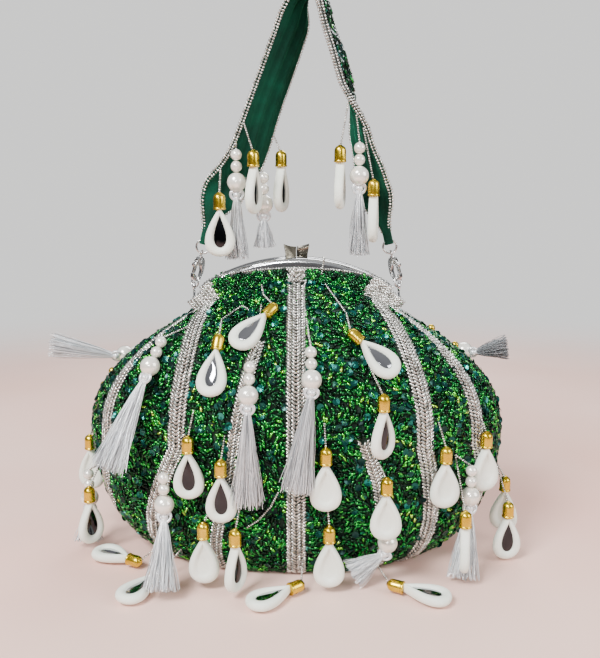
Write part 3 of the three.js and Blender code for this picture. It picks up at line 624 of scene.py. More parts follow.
# the bag's form, with the same values as the solids
bag = {
    "bellyHalfWidth": 118 * mm,
    "bellyHalfDepth": 62 * mm,
    "baseHalfWidth": 74 * mm,
    "baseHalfDepth": 43 * mm,
    "mouthHalfWidth": 55 * mm,
    "mouthHalfDepth": 7.5 * mm,
    "bellyLevel": 0.47,
    "neckLevel": 0.972,
    "neckCurve": 1.35,
    "mouthSquareness": 0.6,
    "squareCurve": 3,
    "braidCurve": 4,  # a braid turns to its place at the rim late
    "frameCentre": 70 * mm,
    "rimRadius": 92 * mm,
    "clothDepth": 0.6 * mm,  # how far the cloth lies inside the face of the solid
    "clothWall": 1.6 * mm,
    "clothGrid": (120, 72),
    "clothSpread": 0.998,  # short of the side seams
    "clothCrowding": 1.15,  # rows lie closer at the base
    "swell": 1.3 * mm,  # how far the cloth puffs out between braids
    "swellReach": 0.28,  # radians from a braid to the full puff
    "swellFade": 0.7,
    "swellWave": (0.25, 7, 9),  # share of the puff, waves round, waves up
    "seamFade": 0.2,
}
braids = [
    {"top": 0, "belly": 0, "foot": 0, "topLimit": 9},
    {"top": 52, "belly": 35, "foot": 46, "topLimit": 9},
    {"top": 71, "belly": 57, "foot": 78, "topLimit": 4},
    {"top": -60, "belly": -32, "foot": -55, "topLimit": 9},
    {"top": -76, "belly": -63, "foot": -82, "topLimit": 4},
]
# narrower braids on the front only, by (level, degrees) up their run
narrowBraids = [
    {"run": [(0.02, -28), (0.33, -17.8), (0.6, -14.4), (0.8, -12)], "topLimit": 9},
    {"run": [(0.02, 30), (0.25, 23.6), (0.35, 21.6), (0.5, 17)], "topLimit": 9},
]
braidWidth = 11 * mm
narrowWidth = 7.5 * mm
probe = 0.01  # small steps of angle and level, to feel a slope
shortProbe = 0.004


def neckShare(level):
    return np.clip((level - bag["bellyLevel"]) / (bag["neckLevel"] - bag["bellyLevel"]), 0, 1)


def reach(level, way):
    base, belly, mouth = (bag[part + way] for part in ("baseHalf", "bellyHalf", "mouthHalf"))
    rise = np.clip(1 - level / bag["bellyLevel"], 0, 1)
    low = base + (belly - base) * np.sqrt(1 - rise ** 2)
    high = mouth + (belly - mouth) * np.cos(np.pi / 2 * neckShare(level) ** bag["neckCurve"])
    return np.where(level < bag["bellyLevel"], low, high)


def rimHeight(angle):
    across = bag["mouthHalfWidth"] * np.sin(angle)
    return bag["frameCentre"] + np.sqrt(bag["rimRadius"] ** 2 - across ** 2)


def bagPoint(angle, level, grow=0.0):
    angle, level, grow = np.broadcast_arrays(*(np.asarray(v, float) for v in (angle, level, grow)))
    squareness = 1 - bag["mouthSquareness"] * neckShare(level) ** bag["squareCurve"]
    cosine = np.cos(angle)
    depth = (reach(level, "Depth") + grow) * np.sign(cosine) * np.abs(cosine) ** squareness
    floor = np.maximum(-grow, 0)
    height = floor + level * (rimHeight(angle) - floor)
    return np.stack([(reach(level, "Width") + grow) * np.sin(angle), -depth, height], -1)


def bagSide(angle, level):
    return bagPoint(angle + probe, level) - bagPoint(angle - probe, level)


def bagNormal(angle, level):
    rise = bagPoint(angle, np.minimum(level + probe, 1)) - bagPoint(angle, np.maximum(level - probe, 0))
    return unit(np.cross(bagSide(angle, level), rise))


def braidAngle(braid, level):
    if "run" in braid:
        levels, angles = zip(*braid["run"])
        return np.radians(np.interp(level, levels, angles))
    low = 1 - level / bag["bellyLevel"]
    below = braid["belly"] + (braid["foot"] - braid["belly"]) * low
    late = neckShare(level) ** bag["braidCurve"]
    above = braid["belly"] + (braid["top"] - braid["belly"]) * late
    return np.radians(np.where(level < bag["bellyLevel"], below, above))


def braidHalf(braid, level):
    arc = np.linalg.norm(bagSide(braidAngle(braid, level), level), axis=-1) / (2 * probe)
    width = narrowWidth if "run" in braid else braidWidth
    return np.minimum(width / 2 / arc, np.radians(braid["topLimit"]))


def braidTop(braid):
    return braid["run"][-1][0] if "run" in braid else plait["highest"]


def braidCover(angle, level, chosen, margin):
    # true where a braid lies; the angle is counted from the panel's own middle
    cover = np.zeros(np.shape(angle), bool)
    for braid in chosen:
        near = np.abs(angle - braidAngle(braid, level)) < braidHalf(braid, level) * margin
        cover |= near & (level < braidTop(braid) + plait["past"])
    return cover


def swell(angle, level):
    # the cloth puffs between the braids and lies flat at the rim, the foot and the side seams
    nearest = np.min([np.abs(angle - braidAngle(braid, level)) for braid in braids], axis=0)
    puff = easeBetween(nearest, 0, bag["swellReach"])
    seam = np.clip((np.pi / 2 - np.abs(angle)) / bag["seamFade"], 0, 1)
    fade = np.sin(np.pi * np.clip(level, 0, 1)) ** bag["swellFade"] * seam
    share, waves, rows = bag["swellWave"]
    wave = 1 - share + share * np.sin(waves * angle + rows * level)
    return bag["swell"] * puff * fade * wave


def panelCloth(name, turn):
    def lay(across, up):
        angle = (across - 0.5) * np.pi * bag["clothSpread"]
        level = up ** bag["clothCrowding"]
        return bagPoint(angle + turn, level, swell(angle, level) - bag["clothDepth"])
    piece = gridPiece(name, *bag["clothGrid"], lay)
    applyModifier(piece, "SOLIDIFY", thickness=bag["clothWall"], offset=-1)
    return smooth(wear(piece, "cloth"), degrees=60)


bugleField = {
    "spacing": 2.05 * mm,
    "jog": 0.4,  # of the spacing
    "lowest": 0.006,
    "highest": 0.962,
    "run": 0.17,  # metres of cloth from base to rim
    "rowAngle": 0.7,
    # patches of one direction: (radians of turn, waves round, waves up, start)
    "patches": [(1.4, 8, 13, 0), (1.2, 19, -10, 2)],
    "looseTurn": 0.38,  # radians of scatter about each patch's own direction
    "tilt": 0.12,
    "lift": (0.3 * mm, 1.2 * mm),
    "thickness": (0.9, 1.12),
    "length": (0.75, 1.1),
    "braidMargin": 0.97,
    "tones": (1.5, 1.9),
    "toneWave": (0.12, 23, 31),
}


def bugleRows():
    # rows that lie evenly up the cloth, each with its spots a little out of step
    spacing, jog, low, high = (bugleField[key] for key in ("spacing", "jog", "lowest", "highest"))
    up = np.linspace(low, high, num=400)
    lengths = lengthsAlong(bagPoint(bugleField["rowAngle"], up))
    rows = np.interp(np.arange(0, lengths[-1], spacing), lengths, up)
    fine = np.linspace(-np.pi / 2, np.pi / 2, num=240)
    angles, levels = [], []
    for level in rows:
        lengths = lengthsAlong(bagPoint(fine, level))
        count = int(lengths[-1] / spacing)
        spots = (np.arange(count) + 0.5 + dice.uniform(-jog, jog, count)) * lengths[-1] / count
        angles.append(np.interp(spots, lengths, fine))
        step = dice.uniform(-jog, jog, count) * spacing / bugleField["run"]
        levels.append(np.clip(level + step, low, high))
    return np.concatenate(angles), np.concatenate(levels)


def bugleSpots(turn, chosen):
    angle, level = bugleRows()
    keep = ~braidCover(angle, level, chosen, bugleField["braidMargin"])
    angle, level = angle[keep], level[keep]
    count = len(angle)
    normal = bagNormal(angle + turn, level)
    rise = unit(bagPoint(angle + turn, level + shortProbe) - bagPoint(angle + turn, level - shortProbe))
    lie = sum(size * np.sin(a * angle + b * level + c) for size, a, b, c in bugleField["patches"])
    lie = lie + dice.normal(0, bugleField["looseTurn"], count)
    along = leaning(rise, np.cross(rise, normal), lie)
    along = along + normal * dice.normal(0, bugleField["tilt"], count)[:, None]
    lift = dice.uniform(*bugleField["lift"], count) - bag["clothDepth"] / 2
    centre = bagPoint(angle + turn, level, swell(angle, level)) + normal * lift[:, None]
    thick = dice.uniform(*bugleField["thickness"], count)
    long = dice.uniform(*bugleField["length"], count)
    turns = turnsFrom(along, normal) * np.stack([thick, thick, long], -1)[:, None]
    size, a, b = bugleField["toneWave"]
    tones = dice.beta(*bugleField["tones"], count) + size * np.sin(a * angle + b * level)
    return angle, turns, centre, np.clip(tones, 0, 1)


sequinField = {
    "count": 1150,
    "halfAngle": 1.5,
    "levels": (0.01, 0.96),
    "crowding": (1.25, 1.0),  # a few more towards the top
    "lift": (0.91 * mm, 1.56 * mm),
    "tilt": 0.3,
    "braidMargin": 0.9,
    "tones": (1.3, 2.2),
}


def sequinSpots(turn, chosen):
    count = sequinField["count"]
    angle = dice.uniform(-sequinField["halfAngle"], sequinField["halfAngle"], count)
    level = np.clip(dice.beta(*sequinField["crowding"], count), *sequinField["levels"])
    keep = ~braidCover(angle, level, chosen, sequinField["braidMargin"])
    angle, level = angle[keep], level[keep]
    count = len(angle)
    normal = bagNormal(angle + turn, level)
    facing = unit(normal + dice.normal(0, sequinField["tilt"], (count, 3)))
    along = unit(dice.normal(0, 1, (count, 3)))
    lift = dice.uniform(*sequinField["lift"], count)
    centre = bagPoint(angle + turn, level, swell(angle, level)) + normal * lift[:, None]
    along = along - facing * np.sum(along * facing, -1, keepdims=True)
    return angle, turnsFrom(along, facing), centre, dice.beta(*sequinField["tones"], count)


plait = {
    "pitch": 1.95 * mm,
    "columns": 4,
    "narrowColumns": 3,
    "slant": 0.8,  # radians each bead leans from the braid's run
    "looseSlant": 0.09,
    "rise": 5.3 * mm,  # a row climbs from the middle to both edges
    "spread": 0.94,
    "lift": 0.7 * mm,
    "crown": 0.7 * mm,
    "looseLift": 0.1 * mm,
    "lowest": 0.008,
    "highest": 0.958,
    "past": 0.01,  # no other beads so close above a braid's top
    "seam": 1.565,  # radians, the last bead before a side seam
    "tones": (2.2, 1.6),
}


def plaitSpots(turn, chosen):
    def braidPoint(braid, level):
        return bagPoint(braidAngle(braid, level) + turn, level)
    found = []
    for braid in chosen:
        fine = np.linspace(plait["lowest"], braidTop(braid), num=300)
        lengths = lengthsAlong(braidPoint(braid, fine))
        columns = plait["narrowColumns"] if "run" in braid else plait["columns"]
        for column in range(columns):
            share = (column + 0.5) / columns * 2 - 1
            start = abs(share) * plait["rise"] % plait["pitch"]
            level = np.interp(np.arange(start, lengths[-1], plait["pitch"]), lengths, fine)
            count = len(level)
            angle = braidAngle(braid, level) + share * braidHalf(braid, level) * plait["spread"]
            angle = np.clip(angle, -plait["seam"], plait["seam"])
            normal = bagNormal(angle + turn, level)
            run = unit(braidPoint(braid, level + shortProbe) - braidPoint(braid, level - shortProbe))
            slant = plait["slant"] if share >= 0 else -plait["slant"]
            lean = slant + dice.normal(0, plait["looseSlant"], count)
            along = leaning(run, np.cross(run, normal), lean)
            hump = plait["lift"] + plait["crown"] * (1 - share ** 2)
            hump = hump + dice.normal(0, plait["looseLift"], count)
            centre = bagPoint(angle + turn, level) + normal * hump[:, None]
            found.append((angle, turnsFrom(along, normal), centre, dice.beta(*plait["tones"], count)))
    return [np.concatenate(column) for column in zip(*found)]


def halves(name, mesh, spots):
    # a bead field as a left and a right piece
    angle, *rest = spots
    sides = (("Left", angle < 0), ("Right", angle >= 0))
    return [scattered(name + side, mesh, *(part[inside] for part in rest)) for side, inside in sides]


def ridePanel(piece, rear):
    if rear:
        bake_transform(piece)
    else:
        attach(piece, "bag")


def makePanel(side, turn, node):
    rear = side == "rear"
    cloth = panelCloth(side + "Cloth", turn)
    ridePanel(cloth, rear)
    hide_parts(node)
    chosen = braids if rear else braids + narrowBraids
    for name, mesh, spots, slot in (
            ("Bugles", bugleMesh, bugleSpots, "beads"),
            ("Sequins", sequinMesh, sequinSpots, "beads"),
            ("Plaits", plaitMesh, plaitSpots, "silver_beads")):
        for piece in halves(side + name, mesh, spots(turn, chosen)):
            ridePanel(piece, rear)


makePanel("front", 0.0, "front_panel")
makePanel("rear", math.pi, "rear_panel")
print("stage: panels, beads and braids")


# the metal frame: one channel bent to an arc, with ears, eyes and a snap tab
snapFrame = {
    "radius": 100 * mm,
    "halfAngle": math.radians(33),
    "steps": 72,
    "hinge": 144.8 * mm,
    "earRadius": 3.5 * mm,
    "earSheet": 1.2 * mm,
    "earInner": {"front": 57.8 * mm, "rear": 56.3 * mm},
    "armStart": 48.3 * mm,
    "armLow": -0.6 * mm,
    "armHigh": 3.0 * mm,
    "plateFace": -9.0 * mm,
    "plateSheet": 1.1 * mm,
    "eyePlace": (58.4 * mm, -4 * mm, 153.5 * mm),
    "eyeRadius": 2.3 * mm,
    "eyeWire": 0.6 * mm,
    "bevel": 0.25 * mm,
}
# (depth from the parting plane, radius) in millimetres round one channel
channelSection = [
    (-7.9, 89.6), (-8.1, 89.3), (-8.8, 89.3), (-9.0, 89.6), (-9.0, 94.1), (-9.4, 94.45),
    (-9.5, 94.75), (-9.4, 95.05), (-9.0, 95.4), (-9.0, 97.4), (-8.9, 98.3), (-8.6, 99.0),
    (-8.1, 99.6), (-7.4, 99.9), (-6.6, 100.0), (-0.7, 100.0), (-0.3, 99.85), (-0.15, 99.5),
    (-0.15, 89.6), (-0.35, 89.4), (-1.05, 89.4), (-1.25, 89.6), (-1.25, 98.0), (-7.9, 98.0),
]
snapTab = {
    "height": 7.5, "half": 3.6, "neck": 2.5, "foot": -1, "saddle": 1.6,  # millimetres
    "depth": 4.0 * mm, "aside": -3.75 * mm, "back": -2.95 * mm, "bevel": 0.4 * mm,
    "lean": -20,
}


def arcPoint(bend, radius, depth):
    # a place on the frame's arc, with its depth along Y
    height = bag["frameCentre"] + radius * np.cos(bend)
    return np.stack(np.broadcast_arrays(radius * np.sin(bend), depth, height), -1)


def bevelBox(low, high):
    box = added(bpy.ops.mesh.primitive_cube_add, size=1)
    editAll(box)
    bpy.ops.transform.resize(value=[b - a for a, b in zip(low, high)], center_override=(0, 0, 0))
    bpy.ops.transform.translate(value=[(a + b) / 2 for a, b in zip(low, high)])
    editDone()
    return applyModifier(box, "BEVEL", width=snapFrame["bevel"], segments=2)


def channelPiece():
    bend = -snapFrame["halfAngle"]
    depth, radius = np.array(channelSection).T * mm
    count = len(channelSection)
    points = arcPoint(bend, radius, depth).tolist()
    piece = drawn("channel", points, [(i, (i + 1) % count) for i in range(count)])
    editAll(piece)
    middle = (0, 0, bag["frameCentre"])
    bpy.ops.mesh.spin(steps=snapFrame["steps"], angle=2 * bend, center=middle, axis=(0, 1, 0))
    closeHoles()
    return tidyFaces(piece)


def tabPiece():
    # straight beside the other tab, flared on the far side, with one saddle over both tops
    half, neck, height, foot = (snapTab[key] for key in ("half", "neck", "height", "foot"))
    outline = [(-neck, foot), (half, foot)]
    for share in (0, 0.2, 0.4, 0.6, 0.8, 1.0):
        outline.append((half - 2 * half * share, height - snapTab["saddle"] * (1 - share ** 2)))
    for share in (0.75, 0.5, 0.25):
        outline.append((-neck - (half - neck) * share ** 2, foot + (height - foot) * share))
    points = [(x * mm, -snapTab["depth"] / 2, z * mm) for x, z in outline]
    tab = drawn("tab", points, [], [range(len(points))])
    editAll(tab)
    bpy.ops.mesh.extrude_region_move(TRANSFORM_OT_translate={"value": (0, snapTab["depth"], 0)})
    bpy.ops.mesh.select_all(action="SELECT")
    bpy.ops.mesh.normals_make_consistent(inside=False)
    editDone()
    return applyModifier(tab, "BEVEL", width=snapTab["bevel"], segments=3, limit_method="ANGLE")


def toroid(radius, wire, matrix, split=0.0, major=36, minor=12):
    ring = added(
        bpy.ops.mesh.primitive_torus_add,
        major_segments=major, minor_segments=minor, major_radius=radius, minor_radius=wire)
    if split:  # a cut through the wire, as in a jump ring
        editAll(ring)
        bpy.ops.mesh.select_mode(type="FACE")
        bpy.ops.mesh.select_all(action="DESELECT")
        editDone()
        for face in ring.data.polygons:
            face.select = math.atan2(face.center.y, face.center.x) > math.pi - split
        bpy.ops.object.mode_set(mode="EDIT")
        bpy.ops.mesh.delete(type="FACE")
        bpy.ops.mesh.select_mode(type="VERT")
        closeHoles()
        tidyFaces(ring)
    ring.data.transform(matrix)
    return ring


def earPieces(hand, side):
    hinge, sheet, wire = snapFrame["hinge"], snapFrame["earSheet"], snapFrame["eyeWire"]
    inner = snapFrame["earInner"][side]
    outer = inner + sheet
    face = snapFrame["plateFace"]
    low, high = hinge + snapFrame["armLow"], hinge + snapFrame["armHigh"]
    arm, ear = (sorted((hand * start, hand * outer)) for start in (snapFrame["armStart"], inner))
    disc = added(
        bpy.ops.mesh.primitive_cylinder_add, vertices=32, radius=snapFrame["earRadius"], depth=sheet)
    applyModifier(disc, "BEVEL", width=snapFrame["bevel"], segments=2, limit_method="ANGLE")
    disc.data.transform(shift(hand * (inner + outer) / 2, 0, hinge) @ turned(90, "Y"))
    made = [
        bevelBox((arm[0], face, low), (arm[1], face + snapFrame["plateSheet"], high)),
        bevelBox((ear[0], face, low), (ear[1], 0, high)),
        disc,
    ]
    if side == "front":
        x, y, z = snapFrame["eyePlace"]
        made.append(toroid(snapFrame["eyeRadius"], wire, shift(hand * x, y, z) @ turned(90, "Y")))
        foot = z - snapFrame["eyeRadius"]
        made.append(bevelBox((ear[0], y - wire, low), (ear[1], y + wire, foot)))
    return made


def makeFrame(side, node, body):
    metal = joined(side + "Frame", [channelPiece()] + earPieces(-1, side) + earPieces(1, side))
    smooth(wear(metal, "chrome"), degrees=30)
    tab = tabPiece()
    crest = bag["frameCentre"] + snapFrame["radius"]
    tab.data.transform(shift(snapTab["aside"], snapTab["back"], crest) @ turned(snapTab["lean"], "X"))
    tab.name = side + "SnapTab"
    smooth(wear(tab, "tab"), degrees=35)
    if side == "rear":
        metal.data.transform(Matrix.Diagonal((1, -1, 1, 1)))
        metal.data.flip_normals()
        tab.data.transform(turned(180, "Z"))
    fit(metal, body, node)
    fit(tab, body)


makeFrame("front", "frame_front", "bag")
makeFrame("rear", "frame_rear", "rear_frame")


# beads sewn up over the frame: the metal shows as a crescent above them
frameCover = {
    "spacing": 1.75 * mm,
    "rows": 9,
    "rowPitch": 1.435 * mm,
    "lowRadius": 87.6 * mm,
    "topRadius": 93.4 * mm,
    "topRise": 6.2 * mm,  # how much higher the beads reach at the two ends
    "riseEnd": 0.47,  # radians from the middle
    "halfAngle": math.radians(39),
    "endRadius": 97.2 * mm,  # past the ends of the arc the beads cover the hinge arms
    "plaitHalf": 4.6 * mm,
    "plaitFrom": (math.radians(-29), math.radians(25)),
    "looseRadius": 0.15 * mm,
    "depth": (9.6 * mm, 10.1 * mm),
    "bugleLie": (0.4, 0.9),  # radians, middle and scatter
    "plaitTones": (2, 1.7),
    # painted shade: the bugles on the frame are toned darker than those on the cloth, against the extra
    # light they catch
    "bugleShadedTones": (1.3, 2.2),
    "rimHalf": math.radians(25.5),
    "rimDepth": 9.4 * mm,
    "rimLift": 1.1 * mm,
}


def coverTop(bend):
    if abs(bend) > snapFrame["halfAngle"]:
        return frameCover["endRadius"]
    share = min(1, abs(bend) / frameCover["riseEnd"])
    return frameCover["topRadius"] + frameCover["topRise"] * share ** 2


def coverSpots():
    spots = []
    limit = frameCover["halfAngle"]
    for row in range(frameCover["rows"]):
        radius = frameCover["lowRadius"] + row * frameCover["rowPitch"]
        count = int(2 * limit * radius / frameCover["spacing"])
        for column in range(count):
            bend = -limit + 2 * limit * (column + 0.5) / count
            if radius <= coverTop(bend):
                spots.append((bend, radius))
    return np.array(spots).T


def arcWays(bend, facing):
    # away from the arc's centre, along the arc, and out of the frame's face
    zero = np.zeros(len(bend))
    rise = np.stack([np.sin(bend), zero, np.cos(bend)], -1)
    aside = np.stack([np.cos(bend), zero, -np.sin(bend)], -1)
    return rise, aside, np.tile([0.0, facing, 0.0], (len(bend), 1))


def frameBeads(side, body):
    facing = 1 if side == "rear" else -1
    bend, radius = coverSpots()
    count = len(bend)
    radius = radius + dice.normal(0, frameCover["looseRadius"], count)
    across = radius * np.sin(bend)
    left, right = frameCover["plaitFrom"]
    silver = (np.abs(across) < frameCover["plaitHalf"]) | (bend < left) | (bend > right)
    loose = dice.normal(*frameCover["bugleLie"], count)
    lie = np.where(silver, plait["slant"] * np.sign(across), loose)
    rise, aside, out = arcWays(bend, facing)
    centre = arcPoint(bend, radius, facing * dice.uniform(*frameCover["depth"], count))
    turns = turnsFrom(leaning(rise, aside, lie), out)
    # the green tones of the frame bugles are darkened as painted shade
    pale, shadedGreen = (dice.beta(*frameCover[key], count) for key in ("plaitTones", "bugleShadedTones"))
    tones = np.where(silver, pale, shadedGreen)
    for name, mesh, chosen, slot in (
            ("FramePlaits", plaitMesh, silver, "silver_beads"),
            ("FrameBugles", bugleMesh, ~silver, "beads")):
        fit(scattered(side + name, mesh, turns[chosen], centre[chosen], tones[chosen]), body)
    rimBeads(side, facing, body)


def rimBeads(side, facing, body):
    # one row of seed beads where the cloth meets the metal
    step = beadSizes["seedPitch"] / snapFrame["radius"]
    bend = np.arange(-frameCover["rimHalf"], frameCover["rimHalf"], step)
    radius = np.array([coverTop(b) for b in bend]) + frameCover["rimLift"]
    centre = arcPoint(bend, radius, facing * frameCover["rimDepth"])
    rise, run, out = arcWays(bend, facing)
    row = scattered(side + "RimBeads", seedMesh, turnsFrom(run, out), centre, silverTones(len(bend)))
    fit(row, body)


frameBeads("front", "bag")
frameBeads("rear", "rear_frame")


def dressNode(node, body, finish, bevel, degrees=35):
    # a solid carried over with its edges broken, for the small turned and cast metal and the base
    mesh = nodes[node].data.copy()
    mesh.transform(nodes[node].matrix_world)
    piece = tidyFaces(newPiece(node + "Dressed", mesh))
    applyModifier(piece, "BEVEL", width=bevel, segments=2, limit_method="ANGLE")
    fit(smooth(wear(piece, finish), degrees), body, node)


def makeRing(node, radius, wire):
    # a split jump ring where the solid ring is: its axis is the way in which it is thinnest
    solid = nodes[node]
    points = np.array([solid.matrix_world @ point.co for point in solid.data.vertices])
    middle = points.mean(axis=0)
    axis = Vector(np.linalg.eigh(np.cov((points - middle).T))[1][:, 0])
    place = shift(*middle) @ axis.to_track_quat("Z", "Y").to_matrix().to_4x4()
    ring = toroid(radius, wire, place, split=0.12)
    ring.name = node + "Wire"
    fit(smooth(wear(ring, "steel")), "strap", node)


for hand in ("left", "right"):
    dressNode("hinge_rivet_" + hand, "bag", "steel", bevel=0.15 * mm)
    makeRing("frame_ring_" + hand, radius=3.0 * mm, wire=0.6 * mm)
    makeRing("strap_ring_" + hand, radius=3.8 * mm, wire=0.55 * mm)
    dressNode("clasp_" + hand, "strap", "steel", bevel=0.22 * mm, degrees=45)
    dressNode("clasp_pin_" + hand, "strap", "steel", bevel=0.06 * mm)
    dressNode("clasp_lever_" + hand, "lever_" + hand, "steel", bevel=0.18 * mm, degrees=45)
dressNode("base_panel", "bag", "baseCloth", bevel=0.5 * mm)
print("stage: frame, rings and clasps")


# lining: two loose halves; the front one rides with the bag, the rear one is fixed where it is placed
lining = {
    "gap": 3.8 * mm, "ease": 4.5 * mm, "easeCurve": 8, "wall": 0.7 * mm, "top": 0.985,
    "fold": 0.5 * mm, "folds": 26, "grid": (96, 40),
    "flat": (0.30, 0.19), "area": 0.042,  # metres, the cut of one half
}


def makeLining(side, turn):
    def lay(across, up):
        angle = (across - 0.5) * np.pi
        level = up * lining["top"]
        loose = lining["ease"] * (1 - neckShare(level) ** lining["easeCurve"])
        fold = lining["fold"] * np.sin(lining["folds"] * angle) * np.sin(np.pi * up) ** 2
        return bagPoint(angle + turn, level, fold - lining["gap"] - loose)
    piece = gridPiece(side + "Lining", *lining["grid"], lay)
    applyModifier(piece, "SOLIDIFY", thickness=lining["wall"], offset=-1)
    smooth(wear(piece, "velvet"), degrees=60)
    ridePanel(piece, side == "rear")
    return piece


frontLining = makeLining("front", 0.0)
makeLining("rear", math.pi)
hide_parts("lining")
print("stage: lining")


# strap: a lined band that rises from its rings to its highest point, with beaded edges
strap = {
    "lean": 14,
    "ringTop": 27.2 * mm,
    "foot": -2.45 * mm,
    "loop": 4 * mm,
    "height": 134 * mm,
    "width": 24 * mm,
    "endWidth": 5 * mm,
    "thickness": 2.0 * mm,
    "loopThickness": 4.9 * mm,
    "crown": 6,  # power of the section's rounding
    "weld": 0.02 * mm,
    "widens": (6 * mm, 34 * mm),  # between these lengths from each end
    "thins": (4 * mm, 14 * mm),
    # (share of half the span, share of the height)
    "route": [
        (-0.87, 0.15), (-0.55, 0.33), (-0.33, 0.55), (-0.05, 0.84), (0.04, 0.95), (0.15, 1.0),
        (0.26, 0.95), (0.33, 0.86), (0.46, 0.72), (0.59, 0.55), (0.73, 0.35), (0.87, 0.17),
    ],
    # (share of the length, degrees)
    "twist": [
        (0, 90), (0.05, 88), (0.16, 55), (0.3, 46), (0.43, 44), (0.55, -15), (0.68, -20),
        (0.8, 24), (0.88, 40), (0.97, 88), (1, 90),
    ],
    "fold": 0.8 * mm,
    "foldWaves": (21, 9, 5),  # across, and how they wander along the length
    "foldsFrom": (0.04, 0.2),
    "grid": (44, 220),
}


def centreLine(points):
    # a centripetal spline through all the points, as dense points and their lengths from the start
    points = np.array(points)
    points = np.vstack([2 * points[0] - points[1], points, 2 * points[-1] - points[-2]])
    share = np.linspace(0, 1, num=40, endpoint=False)[:, None]
    line = []
    for a, b, c, d in zip(points, points[1:], points[2:], points[3:]):
        first, middle, last = (np.linalg.norm(q - p) ** 0.5 for p, q in ((a, b), (b, c), (c, d)))
        leave = ((b - a) / first - (c - a) / (first + middle) + (c - b) / middle) * middle
        arrive = ((c - b) / middle - (d - b) / (middle + last) + (d - c) / last) * middle
        square = -3 * b + 3 * c - 2 * leave - arrive
        cube = 2 * b - 2 * c + leave + arrive
        line.append(b + leave * share + square * share ** 2 + cube * share ** 3)
    line = np.vstack(line + [points[-2:-1]])
    return line, lengthsAlong(line)


def strapEnd(hand, along):
    x, y, z = snapFrame["eyePlace"]
    place = shift(hand * x, y, z) @ turned(-hand * strap["lean"], "Y")
    return np.array(place @ Vector((0, 0, strap["ringTop"] + along)))


def strapPoints():
    ends = (strap["foot"], 0, strap["loop"])
    left, right = ([strapEnd(hand, along) for along in ends] for hand in (-1, 1))
    half, depth, low = right[1]
    route = [np.array([x * half, depth, low + z * strap["height"]]) for x, z in strap["route"]]
    return left + route + right[::-1]


strapLine, strapReach = centreLine(strapPoints())
strapLength = strapReach[-1]


def strapFrame(share):
    # the band at a share of its length: its middle, directions and section
    share = np.clip(np.asarray(share, float), 0, 1)
    along = [share * strapLength + step for step in (0, mm, -mm)]
    point, ahead, behind = (pointsAlong(at, strapReach, strapLine) for at in along)
    run = unit(ahead - behind)
    inward = unit(np.stack([run[..., 2], np.zeros(share.shape), -run[..., 0]], -1))
    turn = np.zeros(share.shape)
    for (start, low), (end, high) in zip(strap["twist"], strap["twist"][1:]):
        eased = low + (high - low) * easeBetween(share, start, end)
        turn = np.where((share >= start) & (share <= end), np.radians(eased), turn)
    backward = np.array([0.0, 1.0, 0.0])
    end = np.minimum(share, 1 - share) * strapLength
    wide, flat = (easeBetween(end, *strap[key]) for key in ("widens", "thins"))
    return SimpleNamespace(
        point=point, run=run,
        across=leaning(backward, inward, turn),
        normal=leaning(inward, -backward, turn),
        width=strap["endWidth"] + (strap["width"] - strap["endWidth"]) * wide,
        thickness=strap["loopThickness"] + (strap["thickness"] - strap["loopThickness"]) * flat,
    )


def makeStrap():
    # the grid goes once round the band's section: lining side first, then the outer side
    def lay(girth, up):
        at = strapFrame(up)
        outer = girth > 0.5
        share = np.where(outer, 1.5 - 2 * girth, 2 * girth - 0.5)
        crown = (1 - (2 * share) ** strap["crown"]) * at.thickness / 2
        folds, wander, bends = strap["foldWaves"]
        wave = np.sin(share * folds + wander * np.sin(bends * up))
        crease = strap["fold"] * wave * (1 - (2 * share) ** 2)
        crease = crease * easeBetween(np.minimum(up, 1 - up), *strap["foldsFrom"])
        lift = np.where(outer, -crown, crown + crease)
        return at.point + at.across * (share * at.width)[:, None] + at.normal * lift[:, None]
    piece = wear(gridPiece("strapBand", *strap["grid"], lay), "velvet", "cloth")
    # faces that look away from the lining side wear the outer cloth
    middles = np.array([face.center for face in piece.data.polygons])
    nearest = [np.argmin(np.sum((strapLine - middle) ** 2, -1)) for middle in middles]
    at = strapFrame(strapReach[nearest] / strapLength)
    away = np.sum((middles - at.point) * at.normal, -1) < 0
    piece.data.polygons.foreach_set("material_index", away.astype(int))
    tidyFaces(piece, strap["weld"])
    editAll(piece)
    closeHoles()
    return fit(smooth(piece, degrees=60), "strap", "strap")


strapRows = {
    "ends": 7 * mm,  # free of beads
    "narrowest": 1.5 * mm,
    # (in from the edge, up on the lining side) of each row
    "edge": (0, 0),
    "outer": (2.1 * mm, -1.3 * mm),
    "near": (1.3 * mm, 1.0 * mm),
    "bugles": 420,
    "sequins": 620,
    "fieldEnds": (0.06, 0.94),
    "fieldHalf": 0.42,  # of the width between the outer rows
    "looseTurn": 0.8,
    "lift": (0.3 * mm, 1.0 * mm),
    "tones": (1.0, 3.2),
}


